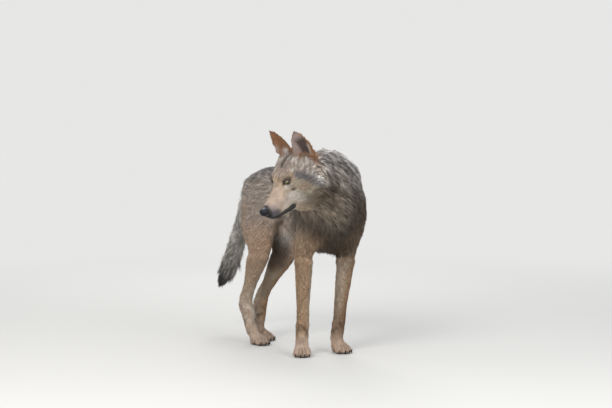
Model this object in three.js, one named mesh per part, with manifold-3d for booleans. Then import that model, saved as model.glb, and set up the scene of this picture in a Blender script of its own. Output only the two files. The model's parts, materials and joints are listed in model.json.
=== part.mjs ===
// A standing timber wolf at life size, with its head turned to its right.
//
// The wolf is one smooth body, described by a field: a function of a point that is negative inside the
// coat's outline, zero on it and positive outside. The body is the soft union of sweeps, which are oval
// sections along a bone, and of a few ovals. Each named part is that body inside one block of space, so
// neighbours meet at a thin flat gap.
//
// Units are millimetres. +X is the wolf's left, -Y is where it faces, +Z is up, and the soles stand on Z = 0.

import * as THREE from "three";
import { mergeVertices } from "three/addons/utils/BufferGeometryUtils.js";
import Module from "manifold-3d";

const wasm = await Module();
wasm.setup();

// ---------------------------------------------------------------- driving dimensions

const GAP = 0.4;                 // space between two parts that meet
const FAR = 1000;                // stands for "not near here" in a field
const REACH = 90;                // how far from a shape its field is still worked out

const CROUP_TURN = 16;           // the hindquarters' heading, in degrees to the left of -Y
const SHOULDER_TURN = -20;       // the shoulders' heading, to the right
const HEAD_TURN = -76;           // the head's heading
const HEAD_NOD = 32;             // how far the nose points down
const HEAD_LEAN = 1;             // how far the left side of the head is lowered

const EYE_RADIUS = 12.5;
const EYE_DEPTH = 10.5;          // from the coat's outline in to the middle of the eyeball
const EAR_LENGTH = 136;
const EAR_OUTER = 55;            // half the ear's width, from its middle line to the outer edge
const EAR_INNER = 43;            // and to the inner edge
const EAR_OPENS = { left: [0.88, -0.47], right: [-0.97, -0.25] };
const EAR_TIPS = { left: [74, 95], right: [-80, 92] };
const EAR_CUP = 17;              // how deeply the ear is hollowed
const EAR_THICKNESS = 8;
const EAR_GAP = 2.5;             // between an ear and the coat it grows out of
const EAR_POINTS = 8;            // facets across each face of an ear
const EAR_LEVELS = 9;
const NOSE_SIZE = [20, 17.5, 15]; // half sizes of the nose pad: to the side, along and up
const MOUTH_BACK = -14;          // the corner of the lips, in front of the eyes
const MOUTH_DROP = -113;         // and below them
const MUZZLE_BACK = -50;         // where the upper muzzle ends, in front of the corner of the lips
const MOUTH_SLOPE = 12;          // how the closed lips rise from there to the nose, in degrees
const NAPE = 112;                // where the head ends, behind the eyes

const ELBOW_HEIGHT = 450;
const WRIST_HEIGHT = 158;
const FETLOCK_HEIGHT = 56;
const HIP_HEIGHT = 625;

const ARM_TOP = 404;             // the cuts across the legs, above the floor
const WRIST_CUT = 138;
const THIGH_TOP = 546;
const KNEE_CUT = 392;
const HOCK_CUT = 178;

const TOE_PITCH = 19;            // from one toe to the next
const TOE_RADIUS = 12.5;
const CLAW_LENGTH = 18;
const CLAW_RADIUS = 4.2;
const CLAW_NOD = 26;             // how far a claw points down

const BALL_DETAIL = 1;           // how finely the eyeballs are divided

const KEPT_FACETS = 0.307;       // the share of the facets left after thinning

const FUR = { roughness: 0.9, metalness: 0 };
const COLOURS = {
  buff: 0xb59c7c,
  grey: 0x8d8272,
  tan: 0xa88763,
  rust: 0xa06a3e,
  black: 0x1c1b1d,
  amber: 0xb98a3a,
  horn: 0x2b2622,
};

// ---------------------------------------------------------------- frames

const degrees = THREE.MathUtils.degToRad;

const vector = (x, y, z) => new THREE.Vector3(x, y, z);

// A frame's own -Y axis is where its part faces. A positive turn is to the left, a positive nod is down and a
// positive lean lowers the left side.
function frameAt(x, y, z, turn = 0, nod = 0, lean = 0) {
  const angles = new THREE.Euler(degrees(nod), degrees(lean), degrees(turn), "ZXY");
  return new THREE.Matrix4().makeRotationFromEuler(angles).setPosition(x, y, z);
}

const WOLF = frameAt(0, 0, 0);
const SHOULDERS = frameAt(36, -138, 0, SHOULDER_TURN);
const CROUP = frameAt(0, 365, 0, CROUP_TURN);
const NECK = frameAt(-40, -232, 704, -64, -16);
const HEAD = frameAt(-290, -314, 753, HEAD_TURN, HEAD_NOD, HEAD_LEAN);
const MOUTH = HEAD.clone().multiply(frameAt(0, MOUTH_BACK, MOUTH_DROP, 0, -MOUTH_SLOPE));

const placed = (frame, x, y, z) => vector(x, y, z).applyMatrix4(frame);

// ---------------------------------------------------------------- fields

// The soft union of two fields: within the reach of the blend they run into each other.
function blend(a, b, reach) {
  const overlap = Math.max(reach - Math.abs(a - b), 0) / reach;
  return Math.min(a, b) - (overlap * overlap * reach) / 4;
}

// The signed distance to an oval section, from the point's offsets and the section's half sizes.
function ovalDistance(side, rise, along, wide, high, long, power) {
  const across = (Math.abs(side) / wide) ** power + (Math.abs(rise) / high) ** power;
  const share = Math.sqrt(across ** (2 / power) + (along / long) ** 2);
  const distance = Math.hypot(side, rise, along);
  return share < 1e-6 ? -Math.min(wide, high) : distance - distance / share;
}

// An oval (egg-shaped) mass: half sizes to the side, along and up, at a place in a frame.
function oval(frame, [x, y, z], [wide, long, high]) {
  const inverse = frame.clone().multiply(frameAt(x, y, z)).invert();
  const local = vector(0, 0, 0);
  const reach = Math.max(wide, long, high) + REACH;
  return (point) => {
    local.copy(point).applyMatrix4(inverse);
    if (local.lengthSq() > reach * reach) return FAR;
    return ovalDistance(local.x, local.z, local.y, wide, high, long, 2);
  };
}

// A sweep: oval sections along a smooth line through its stations. Each station is the section's centre, as a
// point of the wolf, then its half width, its reach towards "up" and its reach away from it.
function sweep(stations, up, { power = 2, ends = [30, 30], steps = 5 } = {}) {
  const line = new THREE.CatmullRomCurve3(stations.map((station) => station[0]));
  const stationSizes = stations.map((station) => vector(...station[1]));
  const sizes = new THREE.CatmullRomCurve3(stationSizes, false, "catmullrom");
  const count = (stations.length - 1) * steps;
  const rings = Array.from({ length: count + 1 }, (_, i) => {
    const along = line.getTangent(i / count);
    const rise = up.clone().addScaledVector(along, -up.dot(along)).normalize();
    return {
      centre: line.getPoint(i / count),
      size: sizes.getPoint(i / count),
      along,
      rise,
      side: rise.clone().cross(along),
    };
  });
  const bounds = new THREE.Box3().setFromPoints(rings.map((ring) => ring.centre));
  const largest = Math.max(...stations.flatMap((station) => station[1]));
  bounds.expandByScalar(largest + REACH);
  const spans = rings.slice(1).map((ring, i) => {
    const step = ring.centre.clone().sub(rings[i].centre);
    return { from: rings[i], to: ring, step, lengthSquared: step.lengthSq() };
  });
  const offset = vector(0, 0, 0);
  const rise = vector(0, 0, 0);
  const side = vector(0, 0, 0);

  return (point) => {
    if (!bounds.containsPoint(point)) return FAR;
    let nearest = Infinity;
    let best = null;
    let share = 0;
    for (const span of spans) {
      const { centre } = span.from;
      const x = point.x - centre.x;
      const y = point.y - centre.y;
      const z = point.z - centre.z;
      const reach = (x * span.step.x + y * span.step.y + z * span.step.z) / span.lengthSquared;
      const held = Math.min(1, Math.max(0, reach));
      const away =
        (x - held * span.step.x) ** 2 + (y - held * span.step.y) ** 2 + (z - held * span.step.z) ** 2;
      if (away < nearest) {
        nearest = away;
        best = span;
        share = held;
      }
    }
    const { from, to, step } = best;
    offset.copy(point).sub(from.centre).addScaledVector(step, -share);
    rise.copy(from.rise).lerp(to.rise, share).normalize();
    side.copy(from.side).lerp(to.side, share).normalize();
    const u = offset.dot(side);
    const v = offset.dot(rise);
    const end = best === spans[0] && share === 0 ? 0 : 1;
    const atEnd = (best === spans[0] && share === 0) || (best === spans.at(-1) && share === 1);
    const w = atEnd ? offset.dot(end ? to.along : from.along) : 0;
    const wide = from.size.x + (to.size.x - from.size.x) * share;
    const above = from.size.y + (to.size.y - from.size.y) * share;
    const below = from.size.z + (to.size.z - from.size.z) * share;
    return ovalDistance(u, v, w, wide, v > 0 ? above : below, ends[end], power);
  };
}

// ---------------------------------------------------------------- the body's shapes

const UP = vector(0, 0, 1);
const AHEAD = vector(0, -1, 0);

const facing = (frame) => vector(0, -1, 0).transformDirection(frame);

// Breast, withers, ribs, loin and croup.
const trunk = sweep(
  [
    [placed(SHOULDERS, 0, -140, 596), [66, 95, 108]],
    [placed(SHOULDERS, 0, -80, 610), [102, 165, 168]],
    [vector(38, -120, 626), [122, 214, 208]],
    [vector(76, 10, 618), [130, 204, 204]],
    [vector(82, 125, 636), [118, 166, 178]],
    [vector(60, 225, 662), [98, 124, 130]],
    [vector(14, 350, 675), [98, 108, 112]],
    [vector(-16, 450, 658), [68, 70, 74]],
  ],
  UP,
  { power: 2.2, ends: [80, 42] },
);

// The neck runs from the withers to the nape, with the mane above and the ruff's long coat below.
const neck = sweep(
  [
    [placed(NECK, 0, 120, -60), [100, 130, 120]],
    [placed(NECK, 0, 40, -20), [112, 164, 160]],
    [placed(NECK, 0, -30, 6), [106, 176, 168]],
    [placed(NECK, 0, -95, 14), [98, 142, 156]],
    [placed(NECK, -4, -150, 14), [92, 100, 132]],
    [placed(HEAD, 0, 92, -22), [88, 72, 104]],
  ],
  UP,
  { ends: [110, 40] },
);

// Where the neck bends away, the mane on the outer side of the bend is pushed up and out.
const maneCorner = oval(WOLF, [118, -168, 762], [48, 48, 52]);

// The head, from the nape to the tip of the muzzle, in its own frame.
const skull = sweep(
  [
    [placed(HEAD, 0, 122, -16), [82, 66, 92]],
    [placed(HEAD, 0, 92, -14), [91, 73, 104]],
    [placed(HEAD, 0, 50, -14), [86, 73, 112]],
    [placed(HEAD, 0, 14, -20), [67, 60, 112]],
    [placed(HEAD, 0, -20, -34), [46, 43, 105]],
    [placed(HEAD, 0, -62, -48), [38, 33, 88]],
    [placed(HEAD, 0, -102, -56), [34, 29, 69]],
    [placed(HEAD, 0, -138, -61), [28, 26, 43]],
  ],
  vector(0, 0, 1).transformDirection(HEAD),
  { power: 2.3, ends: [34, 18] },
);

const brows = [-1, 1].map((side) => oval(HEAD, [side * 28, 0, 16], [20, 20, 15]));
const cheeks = [-1, 1].map((side) => oval(HEAD, [side * 54, 44, -56], [38, 46, 52]));
const ruffs = [-1, 1].map((side) => oval(HEAD, [side * 72, 100, -56], [38, 46, 70]));
const earMounds = [-1, 1].map((side) => oval(HEAD, [side * 50, 92, 34], [32, 26, 30]));
const throat = oval(HEAD, [0, 64, -112], [60, 60, 46]);

// One foreleg: shoulder blade, upper arm, forearm, wrist and pastern.
function foreleg(side, elbow, fetlock) {
  const wrist = fetlock.clone().lerp(elbow, (WRIST_HEIGHT - fetlock.z) / (elbow.z - fetlock.z));
  const arm = (share) => wrist.clone().lerp(elbow, share);
  return sweep(
    [
      [placed(SHOULDERS, side * 74, 0, 700), [46, 82, 82]],
      [placed(SHOULDERS, side * 84, -40, 585), [52, 86, 84]],
      [elbow, [43, 60, 66]],
      [arm(0.75), [39, 44, 46]],
      [arm(0.42), [36, 37, 37]],
      [arm(0.12), [31, 31, 31]],
      [wrist.clone().add(vector(0, -3, 0)), [32, 32, 31]],
      [fetlock.clone().lerp(wrist, 0.5), [30, 28, 28]],
      [fetlock, [31, 27, 27]],
    ],
    AHEAD,
    { ends: [60, 22] },
  );
}

// One hind leg: thigh, knee, shank, hock and the long foot bone down to the fetlock.
function hindleg(side, knee, hock, fetlock) {
  const hip = placed(CROUP, side * 54, -10, HIP_HEIGHT);
  const shank = (share) => hock.clone().lerp(knee, share);
  return sweep(
    [
      [hip, [56, 96, 100]],
      [hip.clone().lerp(knee, 0.5), [56, 84, 106]],
      [knee, [47, 60, 79]],
      [shank(0.66), [41, 47, 56]],
      [shank(0.3), [29, 32, 37]],
      [hock, [32, 35, 39]],
      [fetlock.clone().lerp(hock, 0.55), [31, 30, 32]],
      [fetlock, [31, 27, 28]],
    ],
    facing(CROUP),
    { ends: [50, 22] },
  );
}

// One paw, in a frame at the middle of its sole: the foot behind the toes, the main pad and four toes.
const TOES = [-1.5, -0.5, 0.5, 1.5];

function toeTip(toe, paw) {
  const outer = Math.abs(toe) > 1;
  return { x: toe * TOE_PITCH * paw.spread, y: outer ? -34 : -47, z: TOE_RADIUS - 1 };
}

function pawFields(paw) {
  const { frame, spread } = paw;
  const up = vector(0, 0, 1).transformDirection(frame);
  const toes = TOES.map((toe) => {
    const tip = toeTip(toe, paw);
    return sweep(
      [
        [placed(frame, tip.x * 0.72, tip.y + 44, 34), [13, 13, 13]],
        [placed(frame, tip.x * 0.95, tip.y + 20, 27), [12, 12, 12]],
        [placed(frame, tip.x, tip.y, tip.z), [TOE_RADIUS, TOE_RADIUS, TOE_RADIUS]],
      ],
      up,
      { ends: [12, 11], steps: 3 },
    );
  });
  return [
    ...toes,
    oval(frame, [0, 8, 27], [30 * spread, 30, 27]),
    oval(frame, [0, 12, 10], [26 * spread, 21, 13]),
  ];
}

const PAWS = {
  fore_right: { frame: frameAt(-113, -162, 0, -28), spread: 1 },
  fore_left: { frame: frameAt(72, -158, 0, 4), spread: 1.1 },
  hind_right: { frame: frameAt(-120, 219, 0, 18), spread: 1 },
  hind_left: { frame: frameAt(-32, 328, 0, 14), spread: 0.94 },
};

const fetlockOf = (name, back) => placed(PAWS[name].frame, 0, back, FETLOCK_HEIGHT);

const LEGS = {
  fore_right: foreleg(-1, vector(-71, -109, ELBOW_HEIGHT), fetlockOf("fore_right", 20)),
  fore_left: foreleg(1, vector(109, -162, ELBOW_HEIGHT), fetlockOf("fore_left", 20)),
  hind_right: hindleg(-1, vector(-86, 246, 432), vector(-132, 306, 184), fetlockOf("hind_right", 30)),
  hind_left: hindleg(1, vector(46, 259, 408), vector(2, 408, 178), fetlockOf("hind_left", 34)),
};

const tail = sweep(
  [
    [vector(-14, 452, 705), [34, 34, 34]],
    [vector(-12, 512, 665), [30, 34, 34]],
    [vector(-10, 556, 570), [31, 33, 33]],
    [vector(-10, 600, 455), [42, 38, 38]],
    [vector(-20, 648, 340), [50, 40, 40]],
    [vector(-36, 678, 268), [41, 34, 34]],
    [vector(-60, 702, 218), [20, 18, 18]],
  ],
  vector(0, 1, 0),
  { ends: [30, 22] },
);

const paws = Object.values(PAWS).flatMap(pawFields);
const toesAndPads = (point) => paws.reduce((field, paw) => blend(field, paw(point), 5), FAR);

// The whole wolf. The reach of each blend is how softly that part grows out of the rest.
function body(point) {
  let field = blend(trunk(point), neck(point), 90);
  field = blend(field, maneCorner(point), 46);
  field = blend(field, LEGS.fore_left(point), 34);
  field = blend(field, LEGS.fore_right(point), 34);
  field = blend(field, LEGS.hind_left(point), 34);
  field = blend(field, LEGS.hind_right(point), 34);
  field = blend(field, tail(point), 26);
  let face = skull(point);
  for (const mass of [...brows, ...cheeks, ...ruffs, ...earMounds, throat]) {
    face = blend(face, mass(point), 26);
  }
  field = blend(field, face, 34);
  return point.z < 120 ? blend(field, toesAndPads(point), 12) : field;
}

// ---------------------------------------------------------------- from fields and geometries to solids

// The closed surface where a field is zero, inside a block of a frame. Each cell of the grid that the surface
// crosses gets one corner, and each grid edge that it crosses gets a square between four corners.
function polygonise(field, frame, low, high, cell) {
  const start = low.map((value, axis) => value - 2 * cell[axis]);
  const count = high.map((value, axis) => Math.ceil((value - start[axis]) / cell[axis]) + 3);
  const index = (i, j, k) => (k * count[1] + j) * count[0] + i;
  const values = new Float32Array(count[0] * count[1] * count[2]);
  const point = vector(0, 0, 0);
  const at = (i, axis) => start[axis] + i * cell[axis];
  for (let k = 0; k < count[2]; k++) {
    for (let j = 0; j < count[1]; j++) {
      for (let i = 0; i < count[0]; i++) {
        const place = [at(i, 0), at(j, 1), at(k, 2)];
        const outside = Math.max(...place.map((p, axis) => Math.max(low[axis] - p, p - high[axis])));
        point.set(...place).applyMatrix4(frame);
        values[index(i, j, k)] = outside > 0 ? outside : Math.max(field(point), outside);
      }
    }
  }

  const corners = new Map();
  const positions = [];
  const cornerOf = (i, j, k) => {
    const key = index(i, j, k);
    if (corners.has(key)) return corners.get(key);
    let [x, y, z, crossings] = [0, 0, 0, 0];
    for (let edge = 0; edge < 12; edge++) {
      const axis = edge >> 2;
      const a = [0, 0, 0];
      a[(axis + 1) % 3] = edge & 1;
      a[(axis + 2) % 3] = (edge >> 1) & 1;
      const b = [...a];
      b[axis] = 1;
      const first = values[index(i + a[0], j + a[1], k + a[2])];
      const second = values[index(i + b[0], j + b[1], k + b[2])];
      if (first < 0 === second < 0) continue;
      const share = first / (first - second);
      x += a[0] + (b[0] - a[0]) * share;
      y += a[1] + (b[1] - a[1]) * share;
      z += a[2] + (b[2] - a[2]) * share;
      crossings += 1;
    }
    point.set(at(i + x / crossings, 0), at(j + y / crossings, 1), at(k + z / crossings, 2));
    point.applyMatrix4(frame);
    positions.push(point.x, point.y, point.z);
    corners.set(key, positions.length / 3 - 1);
    return corners.get(key);
  };

  const triangles = [];
  for (let k = 1; k < count[2] - 1; k++) {
    for (let j = 1; j < count[1] - 1; j++) {
      for (let i = 1; i < count[0] - 1; i++) {
        for (let axis = 0; axis < 3; axis++) {
          const step = [0, 0, 0];
          step[axis] = 1;
          const here = values[index(i, j, k)] < 0;
          const next = values[index(i + step[0], j + step[1], k + step[2])] < 0;
          if (here === next) continue;
          const u = [0, 0, 0];
          u[(axis + 1) % 3] = 1;
          const v = [0, 0, 0];
          v[(axis + 2) % 3] = 1;
          const ring = [
            cornerOf(i, j, k),
            cornerOf(i - u[0], j - u[1], k - u[2]),
            cornerOf(i - u[0] - v[0], j - u[1] - v[1], k - u[2] - v[2]),
            cornerOf(i - v[0], j - v[1], k - v[2]),
          ];
          if (!here) ring.reverse();
          triangles.push(ring[0], ring[1], ring[2], ring[0], ring[2], ring[3]);
        }
      }
    }
  }
  return solidFrom(positions, thinned(positions, triangles));
}

function solidFrom(positions, triangles) {
  const mesh = new wasm.Mesh({
    numProp: 3,
    vertProperties: new Float32Array(positions),
    triVerts: new Uint32Array(triangles),
  });
  mesh.merge();
  return new wasm.Manifold(mesh);
}

// How far moving one corner onto another bends the surface: the moved corner's distance from the planes of
// the faces round it, with a little for the length of the edge, so that no sliver is favoured.
function bendOf(points, faces, from, to) {
  let bend = 0.002 * points[from].distanceToSquared(points[to]);
  const offset = points[to].clone().sub(points[from]);
  for (const face of faces) {
    const distance = offset.dot(face.normal);
    bend += distance * distance;
  }
  return bend;
}

// Whether a face keeps its side when one of its corners moves.
function staysFacing(points, face, from, to) {
  const corners = face.corners.map((corner) => points[corner === from ? to : corner]);
  const moved = new THREE.Triangle(...corners);
  return moved.getArea() > 1e-3 && moved.getNormal(vector(0, 0, 0)).dot(face.normal) > 0.5;
}

// The triangles of a closed mesh, with the flattest places thinned out: again and again, the edges that bend
// the surface least are drawn together into one of their ends.
function thinned(positions, triangles) {
  const points = [];
  for (let i = 0; i < positions.length; i += 3) points.push(vector(...positions.slice(i, i + 3)));
  let faces = [];
  for (let i = 0; i < triangles.length; i += 3) faces.push({ corners: triangles.slice(i, i + 3) });
  const wanted = faces.length * KEPT_FACETS;
  let drawnTogether = 1;
  while (faces.length > wanted && drawnTogether > 0) {
    const around = points.map(() => []);
    for (const face of faces) {
      const corners = face.corners.map((corner) => points[corner]);
      face.normal = new THREE.Triangle(...corners).getNormal(vector(0, 0, 0));
      face.corners.forEach((corner) => around[corner].push(face));
    }
    const neighbours = (corner) => new Set(around[corner].flatMap((face) => face.corners));
    const edges = faces.flatMap(({ corners: [a, b, c] }) => [[a, b], [b, c], [c, a]]);
    const moves = edges.map(([from, to]) => ({ from, to, bend: bendOf(points, around[from], from, to) }));
    moves.sort((a, b) => a.bend - b.bend);
    const still = new Set();
    const quota = Math.min((faces.length - wanted) / 2, faces.length * 0.06);
    drawnTogether = 0;
    for (const { from, to } of moves) {
      if (drawnTogether >= quota) break;
      if (still.has(from) || still.has(to)) continue;
      const near = neighbours(from);
      const shared = [...neighbours(to)].filter((corner) => near.has(corner));
      const left = around[from].filter((face) => !face.corners.includes(to));
      if (shared.length !== 4 || !left.every((face) => staysFacing(points, face, from, to))) continue;
      left.forEach((face) => face.corners.splice(face.corners.indexOf(from), 1, to));
      around[from].filter((face) => face.corners.includes(from)).forEach((face) => (face.gone = true));
      near.forEach((corner) => still.add(corner));
      neighbours(to).forEach((corner) => still.add(corner));
      drawnTogether += 1;
    }
    faces = faces.filter((face) => !face.gone);
  }
  return faces.flatMap((face) => face.corners);
}

// A three.js geometry as a solid for cutting and joining.
function solidOf(geometry, frame = WOLF) {
  const bare = geometry.clone();
  bare.deleteAttribute("normal");
  bare.deleteAttribute("uv");
  const merged = mergeVertices(bare, 1e-4).applyMatrix4(frame);
  return solidFrom(merged.attributes.position.array, merged.index.array);
}

function geometryOf(solid) {
  const mesh = solid.getMesh();
  const geometry = new THREE.BufferGeometry();
  geometry.setAttribute("position", new THREE.BufferAttribute(mesh.vertProperties, 3));
  geometry.setIndex(new THREE.BufferAttribute(mesh.triVerts, 1));
  geometry.computeVertexNormals();
  return geometry;
}

// The largest of a solid's separate bodies.
function mainBody(solid) {
  return solid.decompose().sort((a, b) => b.volume() - a.volume())[0];
}

// A block of space, in a frame, made larger or smaller on every side.
function blockSolid({ frame, low, high }, grow) {
  const size = high.map((value, axis) => value - low[axis] + 2 * grow);
  const middle = high.map((value, axis) => (value + low[axis]) / 2);
  return solidOf(new THREE.BoxGeometry(...size), frame.clone().multiply(frameAt(...middle)));
}

// ---------------------------------------------------------------- the body's blocks

// Each part is the body inside its block, less the blocks of the parts named in "spares". Cells are the sizes
// of the facets.
const FOOT_SPLIT = frameAt(-85, 290, 0, CROUP_TURN);
const TAIL_CUT = frameAt(-11, 566, 560, 0, 80);

// The block on one side of a frame's middle plane at "middle", between two heights.
function sideBlock(frame, side, middle, [back, front], [bottom, top], outer = 290) {
  const [left, right] = side > 0 ? [outer, middle] : [middle, -outer];
  return { frame, low: [right, front, bottom], high: [left, back, top] };
}

const HEAD_PARTS = ["head", "muzzle", "lower_jaw"];
const LEG_CELLS = { upper: [20, 22, 24], lower: [14, 14, 26], paw: [8.7, 9.6, 9.4] };

function legPart(part, block, cell, colour = COLOURS.tan, spares = []) {
  return [part, { ...block, cell, colour, spares }];
}

function foreBlocks(name, side) {
  const lengthwise = [30, -330];
  const arm = sideBlock(SHOULDERS, side, side * 60, [125, -135], [ARM_TOP, 690]);
  const forearm = sideBlock(WOLF, side, 8, lengthwise, [WRIST_CUT, ARM_TOP]);
  const paw = sideBlock(WOLF, side, 8, lengthwise, [-GAP / 2, WRIST_CUT]);
  return [
    legPart(`${name}_upper_arm`, arm, LEG_CELLS.upper, COLOURS.tan, [...HEAD_PARTS, "neck"]),
    legPart(`${name}_forearm`, forearm, LEG_CELLS.lower),
    legPart(`${name}_paw`, paw, LEG_CELLS.paw, COLOURS.buff),
  ];
}

function hindBlocks(name, side) {
  const lengthwise = [560, 118];
  const thigh = sideBlock(WOLF, side, -12, lengthwise, [KNEE_CUT, THIGH_TOP]);
  const shank = sideBlock(WOLF, side, -42, lengthwise, [HOCK_CUT, KNEE_CUT]);
  const foot = sideBlock(FOOT_SPLIT, side, 0, [230, -220], [-GAP / 2, HOCK_CUT]);
  return [
    legPart(`${name}_thigh`, thigh, LEG_CELLS.upper),
    legPart(`${name}_shank`, shank, LEG_CELLS.lower),
    legPart(`${name}_foot`, foot, LEG_CELLS.paw, COLOURS.buff),
  ];
}

const LEG_BLOCKS = Object.fromEntries([
  ...foreBlocks("fore_right", -1),
  ...foreBlocks("fore_left", 1),
  ...hindBlocks("hind_right", -1),
  ...hindBlocks("hind_left", 1),
]);

const FORE_PARTS = Object.keys(LEG_BLOCKS).filter((name) => name.startsWith("fore"));
const HIND_PARTS = Object.keys(LEG_BLOCKS).filter((name) => name.startsWith("hind"));

const BLOCKS = {
  muzzle: {
    frame: MOUTH, low: [-90, -200, 0], high: [90, MUZZLE_BACK, 150], cell: [9.5, 12, 9.5],
    colour: COLOURS.buff, spares: [],
  },
  lower_jaw: {
    frame: MOUTH, low: [-90, -200, -90], high: [90, 0, 0], cell: [11, 13, 9], colour: COLOURS.buff,
    spares: [],
  },
  head: {
    frame: HEAD, low: [-190, -120, -172], high: [190, NAPE, 150], cell: [12, 12, 12], colour: COLOURS.buff,
    spares: ["muzzle", "lower_jaw"],
  },
  neck: {
    frame: NECK, low: [-230, -320, -188], high: [230, 0, 260], cell: [24, 24, 24], colour: COLOURS.grey,
    spares: HEAD_PARTS,
  },
  chest: {
    frame: WOLF, low: [-300, -420, 330], high: [330, 112, 950], cell: [28, 28, 28], colour: COLOURS.grey,
    spares: [...HEAD_PARTS, "neck", ...FORE_PARTS],
  },
  loin: {
    frame: WOLF, low: [-300, 112, 330], high: [330, 262, 950], cell: [27, 27, 27], colour: COLOURS.grey,
    spares: HIND_PARTS,
  },
  tail_base: {
    frame: TAIL_CUT, low: [-140, 0, -140], high: [140, 84, 140], cell: [18, 22, 18], colour: COLOURS.grey,
    spares: [],
  },
  tail_brush: {
    frame: TAIL_CUT, low: [-140, -440, -200], high: [140, 0, 75], cell: [17, 25, 17], colour: COLOURS.grey,
    spares: [],
  },
  croup: {
    frame: WOLF, low: [-300, 262, 330], high: [330, 640, 950], cell: [26, 26, 26], colour: COLOURS.grey,
    spares: [...HIND_PARTS, "tail_base", "tail_brush"],
  },
  ...LEG_BLOCKS,
};

const grown = (field, distance) => (point) => field(point) - distance;

function bodyPart(name, field = body) {
  const block = BLOCKS[name];
  const low = block.low.map((value, axis) => value - block.cell[axis]);
  const high = block.high.map((value, axis) => value + block.cell[axis]);
  const flesh = polygonise(field, block.frame, low, high, block.cell);
  const kept = flesh.intersect(blockSolid(block, -GAP / 2));
  return block.spares.reduce((solid, spared) => solid.subtract(blockSolid(BLOCKS[spared], GAP / 2)), kept);
}

// ---------------------------------------------------------------- eyes, nose, ears and claws

// Where a straight line from a point inside the body leaves it.
function surfaceFrom(inside, direction) {
  const point = inside.clone();
  while (body(point) < 0) point.addScaledVector(direction, 0.5);
  return point;
}

function eyeball(side) {
  const outward = vector(side * 0.5, -0.86, 0.06).normalize().transformDirection(HEAD);
  const surface = surfaceFrom(placed(HEAD, side * 22, 14, 3), outward);
  return { outward, surface, centre: surface.clone().addScaledVector(outward, -EYE_DEPTH) };
}

function ball(centre, radius) {
  return solidOf(new THREE.IcosahedronGeometry(radius, BALL_DETAIL), frameAt(centre.x, centre.y, centre.z));
}

// The dent between the lids, in which the eyeball lies.
function lidDent({ surface, outward }) {
  const turn = new THREE.Quaternion().setFromUnitVectors(UP, outward);
  const place = new THREE.Matrix4().compose(surface, turn, vector(13, 10, 6));
  return solidOf(new THREE.IcosahedronGeometry(1, BALL_DETAIL), place);
}

const noseFrame = HEAD.clone().multiply(frameAt(0, -151, -53, 0, 8));
const noseField = (point) => {
  const local = point.clone().applyMatrix4(noseFrame.clone().invert());
  const [wide, long, high] = NOSE_SIZE;
  return ovalDistance(local.x, local.z, local.y, wide, high, long, 2.5);
};

function nosePad() {
  const [wide, long, high] = NOSE_SIZE.map((size) => size + 4);
  return polygonise(noseField, noseFrame, [-wide, -long, -high], [wide, long, high], [8, 8, 7]);
}

// The room that a solid takes with a gap round it: the same solid, a little larger about a frame's origin.
function room(solid, frame, halfSize) {
  const grow = new THREE.Matrix4().makeScale(...halfSize.map((half) => 1 + (1.5 * GAP) / half));
  return solidOf(geometryOf(solid), frame.clone().multiply(grow).multiply(frame.clone().invert()));
}

// An ear: a leaf with a hollow front. Each level is a ring of points, out along the front face and back along
// the rear one.
function ear(side, opens, tipAt) {
  const base = placed(HEAD, side * 50, 106, 36);
  const tip = placed(HEAD, ...tipAt, 36 + EAR_LENGTH);
  const rise = tip.clone().sub(base);
  const along = rise.clone().normalize();
  const open = vector(...opens, 0).transformDirection(HEAD);
  open.addScaledVector(along, -open.dot(along)).normalize();
  const across = along.clone().cross(open);
  const positions = [];
  for (let level = 0; level < EAR_LEVELS; level++) {
    const share = -0.28 + (1.28 * level) / (EAR_LEVELS - 1);
    const height = Math.max(share, 0);
    const taper = (1 - height ** 2.1) ** 0.7;
    const cup = EAR_CUP * (1 - height) ** 0.6;
    const thick = EAR_THICKNESS * (1 - 0.45 * height);
    const middle = base.clone().addScaledVector(rise, share).addScaledVector(open, -10 * height * height);
    for (let face = 0; face < 2; face++) {
      for (let i = 0; i < EAR_POINTS; i++) {
        const part = (i / EAR_POINTS) * 2 - 1;
        const u = face === 0 ? part : -part;
        const wide = (u * side > 0 ? EAR_OUTER : EAR_INNER) * taper + 1.5;
        const bulge = (1 - u * u) * thick * 0.5 * (face === 0 ? 1 : -1);
        const point = middle.clone().addScaledVector(across, u * wide);
        point.addScaledVector(open, bulge - cup * (1 - u * u));
        positions.push(...point.toArray());
      }
    }
  }
  const ring = 2 * EAR_POINTS;
  const triangles = [];
  for (let level = 0; level + 1 < EAR_LEVELS; level++) {
    for (let i = 0; i < ring; i++) {
      const a = level * ring + i;
      const b = level * ring + ((i + 1) % ring);
      triangles.push(a, b, b + ring, a, b + ring, a + ring);
    }
  }
  const top = (EAR_LEVELS - 1) * ring;
  for (let i = 1; i + 1 < ring; i++) {
    triangles.push(0, i + 1, i, top, top + i, top + i + 1);
  }
  const geometry = new THREE.BufferGeometry();
  geometry.setAttribute("position", new THREE.BufferAttribute(new Float32Array(positions), 3));
  geometry.setIndex(triangles);
  return solidOf(geometry);
}

// A claw: a flattened cone that points ahead and down, with its root inside the toe.
function claw(paw, toe, margin) {
  const tip = toeTip(toe, paw);
  const cone = new THREE.ConeGeometry(CLAW_RADIUS + margin, CLAW_LENGTH + 2 * margin, 6, 1);
  cone.scale(0.8, 1, 1.15);
  const root = frameAt(tip.x, tip.y - TOE_RADIUS - 3, tip.z + 0.5, toe * -4, CLAW_NOD);
  const lying = new THREE.Matrix4().makeRotationX(Math.PI / 2);
  return solidOf(cone, paw.frame.clone().multiply(root).multiply(lying));
}

// ---------------------------------------------------------------- the wolf

const group = new THREE.Group();

function addNode(name, solid, colour, finish = FUR) {
  const material = new THREE.MeshStandardMaterial({ color: colour, ...finish });
  const mesh = new THREE.Mesh(geometryOf(solid), material);
  mesh.name = name;
  group.add(mesh);
}

const solids = Object.fromEntries(Object.keys(BLOCKS).map((name) => [name, bodyPart(name)]));

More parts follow.
